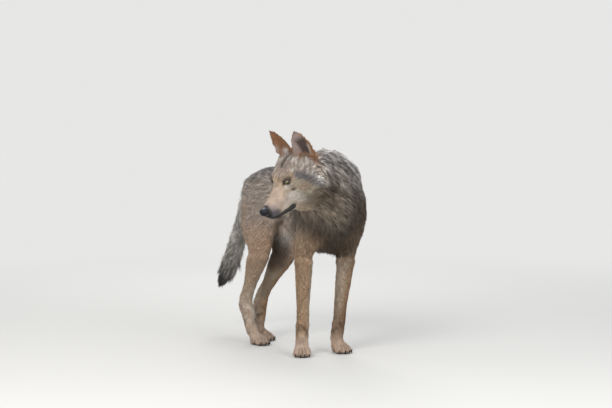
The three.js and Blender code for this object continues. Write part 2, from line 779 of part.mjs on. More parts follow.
const earRoots = ["head", "neck"].map((name) => bodyPart(name, grown(body, EAR_GAP)));

for (const [side, name] of [[1, "left"], [-1, "right"]]) {
  const eye = eyeball(side);
  solids.head = solids.head.subtract(ball(eye.centre, EYE_RADIUS + GAP)).subtract(lidDent(eye));
  addNode(`eye_${name}`, ball(eye.centre, EYE_RADIUS), COLOURS.amber, { roughness: 0.1, metalness: 0 });
  const whole = ear(side, EAR_OPENS[name], EAR_TIPS[name]);
  const free = earRoots.reduce((solid, root) => solid.subtract(root), whole);
  addNode(`ear_${name}`, mainBody(free), COLOURS.rust);
}

const nose = nosePad();
const noseRoom = room(nose, noseFrame, NOSE_SIZE);
solids.muzzle = solids.muzzle.subtract(noseRoom);
solids.lower_jaw = solids.lower_jaw.subtract(noseRoom);
addNode("nose", nose, COLOURS.black, { roughness: 0.45, metalness: 0 });

for (const [name, paw] of Object.entries(PAWS)) {
  const part = name.startsWith("fore") ? `${name}_paw` : `${name}_foot`;
  TOES.forEach((toe, i) => {
    solids[part] = solids[part].subtract(claw(paw, toe, GAP));
    addNode(`${name}_claw_${i + 1}`, claw(paw, toe, 0), COLOURS.horn, { roughness: 0.4, metalness: 0 });
  });
}

for (const [name, solid] of Object.entries(solids)) {
  addNode(name, mainBody(solid), BLOCKS[name].colour);
}

// The origin is on the floor, under the middle of the whole wolf.
const middle = new THREE.Box3().setFromObject(group).getCenter(vector(0, 0, 0));
group.position.set(-middle.x, -middle.y, 0);

export default group;
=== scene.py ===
# %% [markdown]
# # A timber wolf, standing
#
# This notebook dresses a plain solid wolf in skin and fur. The solids hold the pose and the outline,
# out to the tips of the coat. Blender adds what the eye looks for: one seamless skin a little way
# inside that outline, a finished head, and a coat of many thousand small tufts that lie the way a
# real wolf's hair lies.
#
# Everything is in metres. +X is the wolf's left, -Y is the way it stands facing, +Z is up.

# %% Set up
import json
import math
import time
from types import SimpleNamespace

import bmesh
import bpy
import numpy as np
from mathutils import Matrix, Vector
from mathutils.bvhtree import BVHTree
from mathutils.kdtree import KDTree

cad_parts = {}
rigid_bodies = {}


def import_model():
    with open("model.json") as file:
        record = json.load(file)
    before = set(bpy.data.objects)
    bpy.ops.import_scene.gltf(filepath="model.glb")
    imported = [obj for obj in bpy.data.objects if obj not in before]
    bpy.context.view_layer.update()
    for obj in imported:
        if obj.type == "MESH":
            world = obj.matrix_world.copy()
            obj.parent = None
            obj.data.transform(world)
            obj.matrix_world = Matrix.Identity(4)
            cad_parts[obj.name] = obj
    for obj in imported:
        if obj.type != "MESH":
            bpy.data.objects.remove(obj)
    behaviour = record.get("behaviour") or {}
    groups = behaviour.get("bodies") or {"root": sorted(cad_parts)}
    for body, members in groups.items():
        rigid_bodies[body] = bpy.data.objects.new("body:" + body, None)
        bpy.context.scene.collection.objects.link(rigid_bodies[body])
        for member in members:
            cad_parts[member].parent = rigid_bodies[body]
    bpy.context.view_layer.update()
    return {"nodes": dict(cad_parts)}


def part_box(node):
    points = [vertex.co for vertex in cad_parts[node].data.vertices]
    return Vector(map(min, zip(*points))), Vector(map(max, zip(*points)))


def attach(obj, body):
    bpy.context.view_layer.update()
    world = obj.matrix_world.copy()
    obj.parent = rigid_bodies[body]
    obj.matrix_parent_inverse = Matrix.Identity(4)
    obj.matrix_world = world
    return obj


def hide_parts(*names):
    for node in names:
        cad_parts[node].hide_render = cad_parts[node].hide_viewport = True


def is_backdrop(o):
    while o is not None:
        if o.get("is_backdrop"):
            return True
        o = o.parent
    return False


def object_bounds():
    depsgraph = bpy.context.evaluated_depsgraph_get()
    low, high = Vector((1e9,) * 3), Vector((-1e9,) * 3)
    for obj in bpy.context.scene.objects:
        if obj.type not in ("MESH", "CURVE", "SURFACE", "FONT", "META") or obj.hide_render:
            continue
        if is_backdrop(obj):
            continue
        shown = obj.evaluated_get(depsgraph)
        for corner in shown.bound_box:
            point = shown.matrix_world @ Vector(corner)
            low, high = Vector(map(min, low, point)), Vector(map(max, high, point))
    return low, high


for thing in list(bpy.data.objects):
    bpy.data.objects.remove(thing)
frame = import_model()
MM = 0.001
started = time.time()


def clock():
    return f"at {time.time() - started:.1f} s"


# %% [markdown]
# ## Small helpers
#
# Most of the work below is arithmetic on whole arrays of points, which numpy does far faster than a
# Python loop. `ramp` is the soft switch used for every marking: 0 below one value, 1 above another,
# smooth between. `bump` is its partner: 1 at one value, falling away softly to both sides.

# %% Helpers for arrays
def unit(vectors):
    return vectors / np.maximum(np.linalg.norm(vectors, axis=-1, keepdims=True), 1e-12)


def ramp(values, low, high):
    share = np.clip((values - low) / (high - low), 0, 1)
    return share * share * (3 - 2 * share)


def bump(values, middle_value, width):
    return np.exp(-(((values - middle_value) / width) ** 2))


def middle(node):
    low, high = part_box(node)
    return np.array((low + high) / 2)


print("a ramp at a quarter, a half and three quarters:", ramp(np.array([0.25, 0.5, 0.75]), 0, 1))

# %% [markdown]
# ## The head's own directions
#
# The head is turned and lowered, so its features are placed in its own frame. Two eyes and a nose fix
# that frame: the line between the eyes gives left and right, and the line down to the nose gives
# ahead.

# %% The head's frame
MUZZLE_DROP = math.radians(22.75)   # how far the line from the eyes to the nose falls below "ahead"
EYES_AHEAD = 13.6 * MM              # the eyes' middles, in front of the frame's origin
EYES_ABOVE = 4.9 * MM               # and above it

eye_places = {"left": middle("eye_left"), "right": middle("eye_right")}
between_eyes = (eye_places["left"] + eye_places["right"]) / 2
head_left = unit(eye_places["left"] - eye_places["right"])
from_nose = unit(between_eyes - middle("nose"))
above_line = np.cross(head_left, from_nose)
head_back = math.cos(MUZZLE_DROP) * from_nose - math.sin(MUZZLE_DROP) * above_line
head_up = math.sin(MUZZLE_DROP) * from_nose + math.cos(MUZZLE_DROP) * above_line
HEAD_AXES = np.stack([head_left, head_back, head_up], axis=1)
HEAD_ORIGIN = between_eyes + EYES_AHEAD * head_back - EYES_ABOVE * head_up


def in_head(points):
    """Points as millimetres to the head's left, back and up from between the eyes."""
    return (points - HEAD_ORIGIN) @ HEAD_AXES / MM


def from_head(local):
    return HEAD_ORIGIN + np.asarray(local, float) * MM @ HEAD_AXES.T


print("nose in the head's frame, mm:", in_head(middle("nose")).round(1))

# %% [markdown]
# ## The regions of the body
#
# Each part of a wolf wears its own length of coat: a few millimetres on the muzzle, several
# centimetres on the neck. Each region has four sizes, in millimetres: how deep the skin lies under
# the coat's outline, how long and how wide a tuft is, and how far apart tufts grow. Then comes the
# slope at which a tuft leaves the skin, in degrees. Tufts gather into locks: the last two numbers are
# how far apart locks are, in millimetres, and how much lighter or darker one lock is than the next.

# %% Regions and their coats
SIZES = ("depth", "length", "width", "spacing", "slope", "lock", "contrast")
REGIONS = {
    "muzzle":    (3.0, 8.0, 0.9, 1.4, 12, 5, 0.24),
    "head":      (5.0, 15.0, 1.2, 1.75, 20, 6, 0.27),
    "ear":       (1.2, 9.0, 0.9, 1.45, 14, 6, 0.10),
    "neck":      (20.0, 54.0, 2.5, 3.5, 25, 12, 0.54),
    "chest":     (16.0, 44.0, 2.6, 3.8, 24, 12, 0.38),
    "loin":      (13.0, 38.0, 2.3, 3.4, 20, 9, 0.28),
    "croup":     (12.0, 35.0, 2.2, 3.3, 18, 8, 0.25),
    "tail":      (15.0, 50.0, 2.3, 3.2, 24, 12, 0.36),
    "upper_arm": (10.0, 29.0, 2.2, 3.2, 20, 10, 0.26),
    "forearm":   (4.5, 13.0, 1.4, 2.2, 13, 6, 0.13),
    "fore_paw":  (3.0, 10.0, 1.3, 2.1, 13, 6, 0.10),
    "thigh":     (8.0, 26.0, 2.0, 3.0, 16, 6, 0.15),
    "shank":     (4.5, 14.0, 1.4, 2.2, 13, 6, 0.14),
    "hind_foot": (3.0, 10.0, 1.3, 2.1, 13, 6, 0.10),
}
ORDER = list(REGIONS)


def region_of(node):
    if node in ("muzzle", "lower_jaw"):
        return "muzzle"
    if node.startswith("ear_"):
        return "ear"
    for region in ("tail", "upper_arm", "forearm", "thigh", "shank"):
        if region in node:
            return region
    if node.endswith("_paw"):
        return "fore_paw"
    if node.endswith("_foot"):
        return "hind_foot"
    return node


APART = [name for name in frame["nodes"]
         if name == "nose" or name.startswith("eye_") or "_claw_" in name]
FLESH = sorted(name for name in frame["nodes"] if name not in APART)
print("flesh:", len(FLESH), "kept apart:", len(APART))

# %% [markdown]
# ## One skin from many solids
#
# The solids meet at thin flat cuts. A sculptor would lay one sheet of clay over them all. Blender's
# voxel remesh does that: it fills the space inside every solid with small cubes and wraps a single
# closed surface round the lot. Each solid is first grown by about a millimetre, so that the cuts
# close. Smoothing then takes away the facets, strongly on the trunk and hardly at all on the paws and
# face.

# %% Gather the solids into one closed surface
GROWN = 0.7 * MM
EAR_GROWN = 1.2 * MM
VOXEL = 3.0 * MM


def mesh_object(name, points, faces):
    mesh = bpy.data.meshes.new(name)
    mesh.from_pydata([tuple(p) for p in points], [], [tuple(f) for f in faces])
    piece = bpy.data.objects.new(name, mesh)
    bpy.context.scene.collection.objects.link(piece)
    return piece


def grown_solid(node):
    """A solid's merged corners, moved out a little, and its triangles."""
    work = bmesh.new()
    work.from_mesh(frame["nodes"][node].data)
    bmesh.ops.remove_doubles(work, verts=work.verts, dist=1e-5)
    bmesh.ops.triangulate(work, faces=work.faces)
    work.normal_update()
    reach = EAR_GROWN if node.startswith("ear_") else GROWN
    points = np.array([v.co + v.normal * reach for v in work.verts])
    faces = np.array([[v.index for v in f.verts] for f in work.faces])
    work.free()
    return points, faces


solids = {node: grown_solid(node) for node in FLESH + ["eye_left", "eye_right", "nose"]}
all_points = np.concatenate([points for points, _ in solids.values()])
offsets = np.cumsum([0] + [len(points) for points, _ in solids.values()])
all_faces = np.concatenate([faces + offset for (_, faces), offset in zip(solids.values(), offsets)])
face_node = np.concatenate([np.full(len(faces), i) for i, (_, faces) in enumerate(solids.values())])
node_region = np.array([ORDER.index(region_of(node) if node in FLESH else "head") for node in solids])
node_names = list(solids)
outline = BVHTree.FromPolygons([Vector(p) for p in all_points], all_faces.tolist())

rough = mesh_object("rough_skin", all_points, all_faces)
wrap = rough.modifiers.new("wrap", "REMESH")
wrap.mode = "VOXEL"
wrap.voxel_size = VOXEL
wrap.adaptivity = 0


def applied(piece):
    """The piece's mesh with its modifiers applied; the piece itself goes."""
    graph = bpy.context.evaluated_depsgraph_get()
    mesh = bpy.data.meshes.new_from_object(piece.evaluated_get(graph))
    bpy.data.objects.remove(piece)
    return mesh


wrapped = applied(rough)
print("wrapped skin:", len(wrapped.vertices), "points", clock())

# %% [markdown]
# Smoothing needs each point's neighbours. The mesh's edges give them: one pass of `neighbour_mean`
# adds up the values at both ends of every edge. The same pass later spreads region weights and hair
# directions softly over the skin.

# %% Smooth the skin and read its regions
def corners_of(mesh):
    points = np.empty(len(mesh.vertices) * 3)
    mesh.vertices.foreach_get("co", points)
    edges = np.empty(len(mesh.edges) * 2, np.int32)
    mesh.edges.foreach_get("vertices", edges)
    return points.reshape(-1, 3), edges.reshape(-1, 2)


def neighbour_mean(values, edges):
    count = len(values)
    ends = np.concatenate([edges[:, 0], edges[:, 1]])
    others = np.concatenate([edges[:, 1], edges[:, 0]])
    degree = np.maximum(np.bincount(ends, minlength=count), 1)
    columns = [np.bincount(ends, values[others, c], count) for c in range(values.shape[1])]
    return np.stack(columns, axis=1) / degree[:, None]


def spread(values, edges, passes, rate=0.6):
    for _ in range(passes):
        values = values + rate * (neighbour_mean(values, edges) - values)
    return values


def nearest_nodes(points):
    """The index of the solid nearest to each point."""
    found = [outline.find_nearest(Vector(p))[2] for p in points]
    return face_node[np.array(found)]


SMOOTHING = {
    "muzzle": 0.12, "head": 0.25, "ear": 0.16, "neck": 0.85, "chest": 0.9, "loin": 0.9, "croup": 0.9,
    "tail": 0.55, "upper_arm": 0.8, "forearm": 0.35, "fore_paw": 0.08, "thigh": 0.8, "shank": 0.35,
    "hind_foot": 0.10,
}
STRENGTH_PASSES = 8                 # how far one region's strength runs into the next
SMOOTHING_PASSES = 70

skin_points, skin_edges = corners_of(wrapped)
skin_nodes = nearest_nodes(skin_points)
strength = np.array([SMOOTHING[region] for region in ORDER])[node_region[skin_nodes]][:, None]
strength = spread(strength, skin_edges, STRENGTH_PASSES)
for _ in range(SMOOTHING_PASSES):
    skin_points += strength * (neighbour_mean(skin_points, skin_edges) - skin_points)
print("smoothed", clock())

# %% [markdown]
# ## Under the coat
#
# The skin now moves in by the coat's depth, in small steps along its own normals, so that it never
# folds over itself. The head's depth grows from the face back to the cheek ruff. The soles stay where
# they are, because pads have no fur under them.

# %% Move the skin in under the coat
DEPTH_STEPS = 6
DEPTH_PASSES = 30                   # how softly one region's depth runs into the next
NORMAL_PASSES = 3                   # how much the way in is smoothed at each step
RUFF = 0.8                          # how nearly the coat behind the cheeks is as long as the neck's
SOLE_RISE = (4 * MM, 24 * MM)       # between these heights the depth grows from nothing
LOWEST = 0.4 * MM                   # the skin stays this far above the floor
TAIL_END = (130 * MM, 40 * MM)      # between these distances from its tip the tail's coat gets shorter
tail_low, tail_high = (np.array(corner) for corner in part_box("tail_brush"))
tail_tip = np.array([tail_low[0], tail_high[1], tail_low[2]])


def tail_taper(points):
    """From 1 over most of the body down to a half at the tip of the tail."""
    return 1 - 0.5 * ramp(np.linalg.norm(points - tail_tip, axis=1), *TAIL_END)


def weights_of(nodes, edges, passes):
    """How much of each region a point belongs to, spread softly over the borders."""
    sharp = np.zeros((len(nodes), len(ORDER)))
    sharp[np.arange(len(nodes)), node_region[nodes]] = 1
    return spread(sharp, edges, passes)


def coat_size(weights, size, local):
    """A coat size, in millimetres, blended between regions; the head's grows towards its ruff."""
    sizes = np.array([REGIONS[region][SIZES.index(size)] for region in ORDER])
    values = weights @ sizes
    head, neck = ORDER.index("head"), ORDER.index("neck")
    to_ruff = ramp(local[:, 1], 30, 105) * ramp(local[:, 2], 40, -30)
    values += weights[:, head] * to_ruff * RUFF * (sizes[neck] - sizes[head])
    return values


def normals_of(mesh, points):
    mesh.vertices.foreach_set("co", points.ravel())
    mesh.update()
    normals = np.empty(len(mesh.vertices) * 3, np.float32)
    mesh.vertices.foreach_get("normal", normals)
    return normals.reshape(-1, 3)


weights = weights_of(skin_nodes, skin_edges, DEPTH_PASSES)
depth = coat_size(weights, "depth", in_head(skin_points)) * MM
depth *= ramp(skin_points[:, 2], *SOLE_RISE) * tail_taper(skin_points)
for _ in range(DEPTH_STEPS):
    normals = spread(normals_of(wrapped, skin_points), skin_edges, NORMAL_PASSES)
    skin_points -= unit(normals) * depth[:, None] / DEPTH_STEPS
skin_points[:, 2] = np.maximum(skin_points[:, 2], LOWEST)
wrapped.vertices.foreach_set("co", skin_points.ravel())
wrapped.update()
print("deepest coat, mm:", round(float(depth.max() / MM), 1), clock())

# %% [markdown]
# ## Spending the triangles where they show
#
# The wrapped skin is equally fine everywhere. The trunk doesn't need that and the face does, so a
# Decimate modifier thins it, guided by a vertex group that guards the head, the ears and the paws.

# %% Thin the trunk's mesh
GUARDED = {"muzzle": 1.0, "head": 0.8, "ear": 1.0, "fore_paw": 0.7, "hind_foot": 0.7}
KEPT_SHARE = 0.26

thick = bpy.data.objects.new("thick_skin", wrapped)
bpy.context.scene.collection.objects.link(thick)
guard = thick.vertex_groups.new(name="thin")
guarded = weights @ np.array([GUARDED.get(region, 0.0) for region in ORDER])
LEVELS = 8
for level in range(LEVELS + 1):
    members = np.nonzero(np.rint(guarded * LEVELS).astype(int) == level)[0]
    guard.add(members.tolist(), 1 - level / LEVELS, "REPLACE")
thin = thick.modifiers.new("thin", "DECIMATE")
thin.ratio = KEPT_SHARE
thin.vertex_group = "thin"
thin.vertex_group_factor = 1.0
skin_mesh = applied(thick)
print("thinned skin:", len(skin_mesh.polygons), "faces", clock())

# %% [markdown]
# ## Where the eyes and the lips lie
#
# The lids, the lips, the hair round them and their colours all ask how far a point is from an eye or
# from the mouth. So each eye gets three directions of its own: to its outer corner, up between the
# lids, and out. The closed lips are one curve that rises towards the nose and sags in its middle, and
# a point lies so far ahead along it and so far above it.

# %% Where the eyes and the lips lie
SIDES = {"left": 1, "right": -1}
EYE_OUT = (0.5, -0.86, 0.06)        # the way the left eye's opening faces, in the head's frame
EYE_OUTER = (0.86, 0.5, 0.0)        # the way to its outer corner, before the slant
EYE_SLANT = math.radians(22)
LIP_CORNER = (0.0, -14.0, -113.0)   # the corner of the mouth in the head's frame, in millimetres
LIP_SLOPE = math.radians(12)
LIP_LENGTH = 138
LIP_SAG = 3.5


def mirrored(way, turn):
    """A way of the left side, or the same of the right side when turn is -1."""
    return np.array(way) * [turn, 1, 1]


def eye_frame(side):
    """An eye's middle, and its directions: to the outer corner, up between the lids, and out."""
    turn = SIDES[side]
    out = unit(mirrored(EYE_OUT, turn))
    outer = unit(mirrored(EYE_OUTER, turn))
    up = unit(np.cross(out, outer) * turn)
    tilted = math.cos(EYE_SLANT) * outer + math.sin(EYE_SLANT) * up
    raised = math.cos(EYE_SLANT) * up - math.sin(EYE_SLANT) * outer
    return eye_places[side], np.stack([tilted, raised, out], axis=1)


def in_eye(side, local):
    place, axes = eye_frame(side)
    return (local - in_head(place)) @ axes


def along_lips(local):
    """How far ahead of the corner of the mouth a point is, and how far above the closed lips."""
    ahead = LIP_CORNER[1] - local[:, 1]
    above = local[:, 2] - LIP_CORNER[2]
    forward = ahead * math.cos(LIP_SLOPE) + above * math.sin(LIP_SLOPE)
    height = above * math.cos(LIP_SLOPE) - ahead * math.sin(LIP_SLOPE)
    sag = -LIP_SAG * np.sin(np.clip(forward / LIP_LENGTH, 0, 1) * math.pi)
    return forward, height - sag


print("each eye, along and above the lips:",
      [np.ravel(along_lips(in_head(eye_places[side])[None])).round().tolist() for side in SIDES])

# %% [markdown]
# ## A finer mesh for the lids and the lips
#
# A lid's edge is about a millimetre thick, finer than the mesh. So the triangles round the eyes are
# divided twice and those along the lips once. Any loose speck that the wrapping left is dropped at
# the same time.

# %% Refine the face
LID_REACH = 27                      # millimetres round an eye's middle that get the finer mesh
RIM_REACH = 20                      # and those that get it twice
LIP_REACH = 8                       # millimetres to each side of the line of the lips
LIP_START = -8                      # the finer mesh begins this far behind the corner of the mouth
LIP_HALF = 60                       # millimetres from the head's middle plane


def largest_piece(mesh):
    """Which points belong to the largest connected piece of a mesh."""
    points, edges = corners_of(mesh)
    label = np.arange(len(points))
    while True:
        before = label.copy()
        np.minimum.at(label, edges[:, 0], label[edges[:, 1]])
        np.minimum.at(label, edges[:, 1], label[edges[:, 0]])
        label = label[label]
        if np.array_equal(before, label):
            return label == np.bincount(label).argmax()


def divide(work, wanted):
    """Divides the edges whose both ends are wanted."""
    local = in_head(np.array([v.co for v in work.verts]))
    chosen = wanted(local)
    edges = [e for e in work.edges if chosen[e.verts[0].index] and chosen[e.verts[1].index]]
    bmesh.ops.subdivide_edges(work, edges=edges, cuts=1, use_grid_fill=True)
    bmesh.ops.triangulate(work, faces=work.faces)
    work.verts.index_update()


def near_eyes(reach):
    def wanted(local):
        away = [np.linalg.norm(in_eye(side, local), axis=1) for side in SIDES]
        return np.minimum(*away) < reach
    return wanted


def near_lips(local):
    forward, height = along_lips(local)
    return (np.abs(height) < LIP_REACH) & (forward > LIP_START) & (np.abs(local[:, 0]) < LIP_HALF)


fine = bmesh.new()
fine.from_mesh(skin_mesh)
bmesh.ops.triangulate(fine, faces=fine.faces)
kept = largest_piece(skin_mesh)
bmesh.ops.delete(fine, geom=[v for v, keep in zip(list(fine.verts), kept) if not keep], context="VERTS")
fine.verts.index_update()
divide(fine, near_lips)
divide(fine, near_eyes(LID_REACH))
divide(fine, near_eyes(RIM_REACH))
fine.to_mesh(skin_mesh)
fine.free()
skin_points, skin_edges = corners_of(skin_mesh)
print("finer skin:", len(skin_points), "points", len(skin_mesh.polygons), "faces", clock())

# %% [markdown]
# ## Lids that hold the eye
#
# An eye looks real when the lids wrap round the ball. Round each eye the skin is lifted to a shell
# just outside the eyeball, inside an almond between two arcs it sinks behind the ball, and the points
# nearest the almond are drawn onto its edge so that the rim is crisp. A brow and a crease above and
# another crease below give the eye its depth.

# %% Sculpt the lids
BALL_RADIUS = 12.5
LID_THICKNESS = 1.5
SUNK = 3.5                          # how far behind the ball's surface the skin goes between the lids
LID_FADE = 14                       # how far from the rim the lids run out into the face
OPENING = (13.0, 6.8, 5.4)          # half the almond's width, its rise and its drop
SNAP = 0.75                         # points this near the opening's edge are drawn onto it
LID_FOLDS = {                       # how far out, how far up, how wide, and its two ends
    "brow": (2.2, OPENING[1] + 5.5, 3.5, (17, 7)),
    "upper crease": (-0.8, OPENING[1] + 1.9, 0.9, (13, 8)),
    "lower crease": (-0.7, -OPENING[2] - 4.0, 1.3, (17, 7)),
}


def lid_line(across, rise):
    """The distance from the edge of the opening between the lids; negative inside it."""
    half, top, bottom = OPENING

    def from_arc(height, sign):
        radius = (half * half + height * height) / (2 * height)
        return np.hypot(across, rise - sign * (height - radius)) - radius

    return np.maximum(from_arc(top, 1), from_arc(bottom, -1))


def shape_lids(points, side):
    eye = in_eye(side, in_head(points))
    near = (np.hypot(eye[:, 0], eye[:, 1]) < LID_REACH) & (eye[:, 2] > -4)
    across, rise, out = eye[near].T
    edge = lid_line(across, rise)
    step = 0.05
    slope_across = (lid_line(across + step, rise) - lid_line(across - step, rise)) / (2 * step)
    slope_rise = (lid_line(across, rise + step) - lid_line(across, rise - step)) / (2 * step)
    snapped = np.abs(edge) < SNAP
    across = across - np.where(snapped, edge * slope_across, 0)
    rise = rise - np.where(snapped, edge * slope_rise, 0)
    edge = np.where(snapped, 0, edge)
    flat = np.hypot(across, rise)
    shell = np.sqrt(np.maximum((BALL_RADIUS + LID_THICKNESS) ** 2 - flat ** 2, 36))
    behind = np.sqrt(np.maximum((BALL_RADIUS - SUNK) ** 2 - flat ** 2, 1))
    lifted = out + ramp(edge, LID_FADE, 0) * (shell - out)
    for swell, at, width, ends in LID_FOLDS.values():
        lifted += swell * bump(rise, at, width) * ramp(np.abs(across), *ends)
    out = np.where(edge < 0, np.minimum(behind, out), lifted)
    place, axes = eye_frame(side)
    shaped = np.stack([across, rise, out], axis=1) @ axes.T + in_head(place)
    points[near] = from_head(shaped)
    return int(near.sum())


for side in SIDES:
    print("lid points,", side, shape_lids(skin_points, side))

# %% [markdown]
# ## Lips, whisker pads and cheeks
#
# The mouth is shut, so the lips are one fold: a groove along the line where they meet, with the upper
# lip hanging a little over it. The whisker pads swell to each side of the nose. All of it is pushed
# along the skin's normals by smooth bumps, as a sculptor's thumb would.

# %% Sculpt the lips and pads
LIP_GROOVE = 2.6                    # how deep or how high each form is, in millimetres
LIP_SWELL = 1.1
WHISKER_PAD = 2.2
LIP_CLEFT = 1.3
TOE_GROOVE = 2.4
TOE_WIDTH = 20 * MM
TOES_AHEAD = 60 * MM                # how far the claws are ahead of the place where the toes part


def claw_places(name):
    return [middle(f"{name}_claw_{i}") for i in (1, 2, 3, 4)]


def toe_flow(name):
    """From the middle of a foot to the middle of its claws, level with the floor."""
    foot = f"{name}_paw" if name.startswith("fore") else f"{name}_foot"
    return unit((np.mean(claw_places(name), axis=0) - middle(foot)) * [1, 1, 0])


FEET = {name: toe_flow(name) for name in ("fore_right", "fore_left", "hind_right", "hind_left")}


def off_line(points, start, step):
    """To each point from the nearest place on a straight line that has two ends."""
    share = np.clip((points - start) @ step / (step @ step), 0, 1)
    return points - start - share[:, None] * step


def toe_grooves(points):
    """Where the skin dips between two toes, from 0 to 1."""
    deepest = np.zeros(len(points))
    low = ramp(points[:, 2], 4 * MM, 10 * MM) * (points[:, 2] < 75 * MM)
    for name, toes in FEET.items():
        claws = claw_places(name)
        heel = np.mean(claws, axis=0) - toes * TOES_AHEAD
        away = [np.linalg.norm(off_line(points, heel, (claw - heel) * [1, 1, 0]) * [1, 1, 0], axis=1)
                for claw in claws]
        first, second = np.sort(np.array(away), axis=0)[:2]
        ahead = ramp((points - heel) @ toes, 18 * MM, 36 * MM)
        groove = bump(second - first, 0, 3.5 * MM) * ahead * (first < TOE_WIDTH)
        deepest = np.maximum(deepest, groove * low)
    return deepest


toe_groove = toe_grooves(skin_points)
local = in_head(skin_points)
forward, height = along_lips(local)
on_lips = ramp(forward, -4, 8) * (local[:, 1] < 0)
normals = unit(normals_of(skin_mesh, skin_points).astype(float))
push = -LIP_GROOVE * bump(height, 0, 1.6) * on_lips
push += LIP_SWELL * bump(height, 4.2, 2.6) * on_lips
push += WHISKER_PAD * bump(forward, 118, 20) * bump(height, 14, 9) * ramp(np.abs(local[:, 0]), 6, 16)
push -= LIP_CLEFT * bump(local[:, 0], 0, 2.0) * bump(local[:, 1], -152, 8) * ramp(local[:, 2], -58, -66)
push -= TOE_GROOVE * toe_groove
skin_points += normals * push[:, None] * MM
normals = unit(normals_of(skin_mesh, skin_points).astype(float))
local = in_head(skin_points)
forward, height = along_lips(local)
print("deepest groove, mm:", round(float(-push.min()), 2))

# %% [markdown]
# ## Which way the hair lies
#
# Hair on a wolf runs from the nose to the tail and down the legs, like water off its back. Every
# point gets a direction: along a line through the middle of the body, with a pull downwards that each
# region sets. The face, the ears and the toes have directions of their own.

# %% Directions of the body and the head
DOWNWARD = {
    "neck": 0.55, "chest": 0.45, "loin": 0.35, "croup": 0.55, "tail": 0.1,
    "upper_arm": 1.5, "thigh": 1.2, "forearm": 8.0, "shank": 8.0, "fore_paw": 6.0, "hind_foot": 6.0,
}
TOE_RISE = (80 * MM, 40 * MM)       # between these heights the hair turns towards the toes
SPINE_REACH = 70 * MM               # how near a stretch of the spine has to be to count

spine = np.array(
    [from_head((0, 95, -15))]
    + [middle(node) for node in ("neck", "chest", "loin", "croup", "tail_base", "tail_brush")]
    + [tail_tip]
)

def along_spine(points):
    """The direction of the nearest stretch of the body's middle line, softened between stretches."""
    steps = spine[1:] - spine[:-1]
    total = np.zeros_like(points)
    for start, step in zip(spine[:-1], steps):
        away = np.linalg.norm(off_line(points, start, step), axis=1)
        total += unit(step) * np.exp(-((away / SPINE_REACH) ** 2))[:, None] + unit(step) * 1e-9
    return unit(total)


def head_flow(local):
    """Hair on the head: back along the muzzle, up the forehead, back and down over the cheeks."""
    aside = np.clip(local[:, 0] / 50, -1, 1)
    forehead = ramp(local[:, 2], -10, 25)
    cheek = ramp(local[:, 2], -30, -80) * ramp(local[:, 1], -20, 40)
    flow = np.stack([
        0.25 * aside + 0.35 * aside * cheek,
        np.ones(len(local)) - 0.15 * forehead,
        0.25 + 0.55 * forehead - 0.75 * cheek,
    ], axis=1)
    for side in SIDES:
        eye = in_eye(side, local)
        away = unit(eye * [1, 1, 0])
        close = bump(np.hypot(eye[:, 0], eye[:, 1]), 0, 20)[:, None]
        flow += 1.3 * close * (away @ eye_frame(side)[1].T)
    return unit(flow) @ HEAD_AXES.T


print("stretches of the middle line:", len(spine) - 1)

# %% [markdown]
# The directions are spread softly over the skin, so that no border shows. The regions' own weights
# are spread too: a little on the head, widely on the body, where one length of coat runs slowly into
# the next.

# %% Lay the hair along the skin
HEAD_PASSES = 12
BODY_PASSES = 90
FLOW_PASSES = 6
skin_nodes = nearest_nodes(skin_points)
weights = weights_of(skin_nodes, skin_edges, HEAD_PASSES)
narrow = weights[:, [ORDER.index(region) for region in ("muzzle", "head", "ear")]].sum(axis=1)[:, None]
weights = weights * narrow + spread(weights, skin_edges, BODY_PASSES) * (1 - narrow)
weights /= weights.sum(axis=1, keepdims=True)
on = SimpleNamespace(**{region: weights[:, i] for i, region in enumerate(ORDER)})

down = weights @ np.array([DOWNWARD.get(region, 0.0) for region in ORDER])
flow = along_spine(skin_points) + down[:, None] * np.array([0, 0, -1.0])
face = on.head + on.muzzle
flow = unit(flow) * (1 - face)[:, None] + head_flow(local) * face[:, None]
ear_up = np.stack([0.18 * np.sign(local[:, 0]), np.zeros(len(local)), np.ones(len(local))], axis=1)
flow = flow * (1 - on.ear)[:, None] + (unit(ear_up) @ HEAD_AXES.T) * on.ear[:, None]
toward_toes = (on.fore_paw + on.hind_foot) * ramp(skin_points[:, 2], *TOE_RISE)
for name, toes in FEET.items():
    mine = np.array([node.startswith(name) for node in node_names])[skin_nodes]
    share = (toward_toes * mine)[:, None]
    flow = flow * (1 - share) + toes * share
flow = spread(flow, skin_edges, FLOW_PASSES)
print("hair directions on", len(flow), "points", clock())

# %% [markdown]
# Real coats have swirls, so the hair is turned a little by slow waves. `waves` is a cheap smooth
# noise: a sum of sine waves in random directions, always the same for one seed. The markings and the
# locks use it again.

# %% Swirls
def waves(points, size, seed, count=14):
    numbers = np.random.default_rng(seed)
    directions = unit(numbers.normal(size=(count, 3)))
    lengths = size * numbers.uniform(0.7, 1.6, count)
    phases = numbers.uniform(0, 2 * math.pi, count)
    total = np.zeros(len(points))
    for direction, length, phase in zip(directions, lengths, phases):
        total += np.sin(points @ direction * (2 * math.pi / length) + phase)
    return total / math.sqrt(count / 2)


def along_skin(directions, normals):
    """Directions laid flat on the skin."""
    return unit(directions - normals * np.sum(directions * normals, axis=1, keepdims=True))


def turned(directions, normals, angles):
    sideways = np.cross(normals, directions)
    return directions * np.cos(angles)[:, None] + sideways * np.sin(angles)[:, None]


SWIRL = (math.radians(11), math.radians(8))
FACE_CALM = 0.75                    # how much weaker the swirls are on the face
flow = along_skin(flow, normals)
swirl = SWIRL[0] * waves(skin_points, 75 * MM, 1) + SWIRL[1] * waves(skin_points, 26 * MM, 2)
flow = turned(flow, normals, swirl * (1 - FACE_CALM * face))
print("widest swirl, degrees:", round(float(np.degrees(np.abs(swirl).max()))))

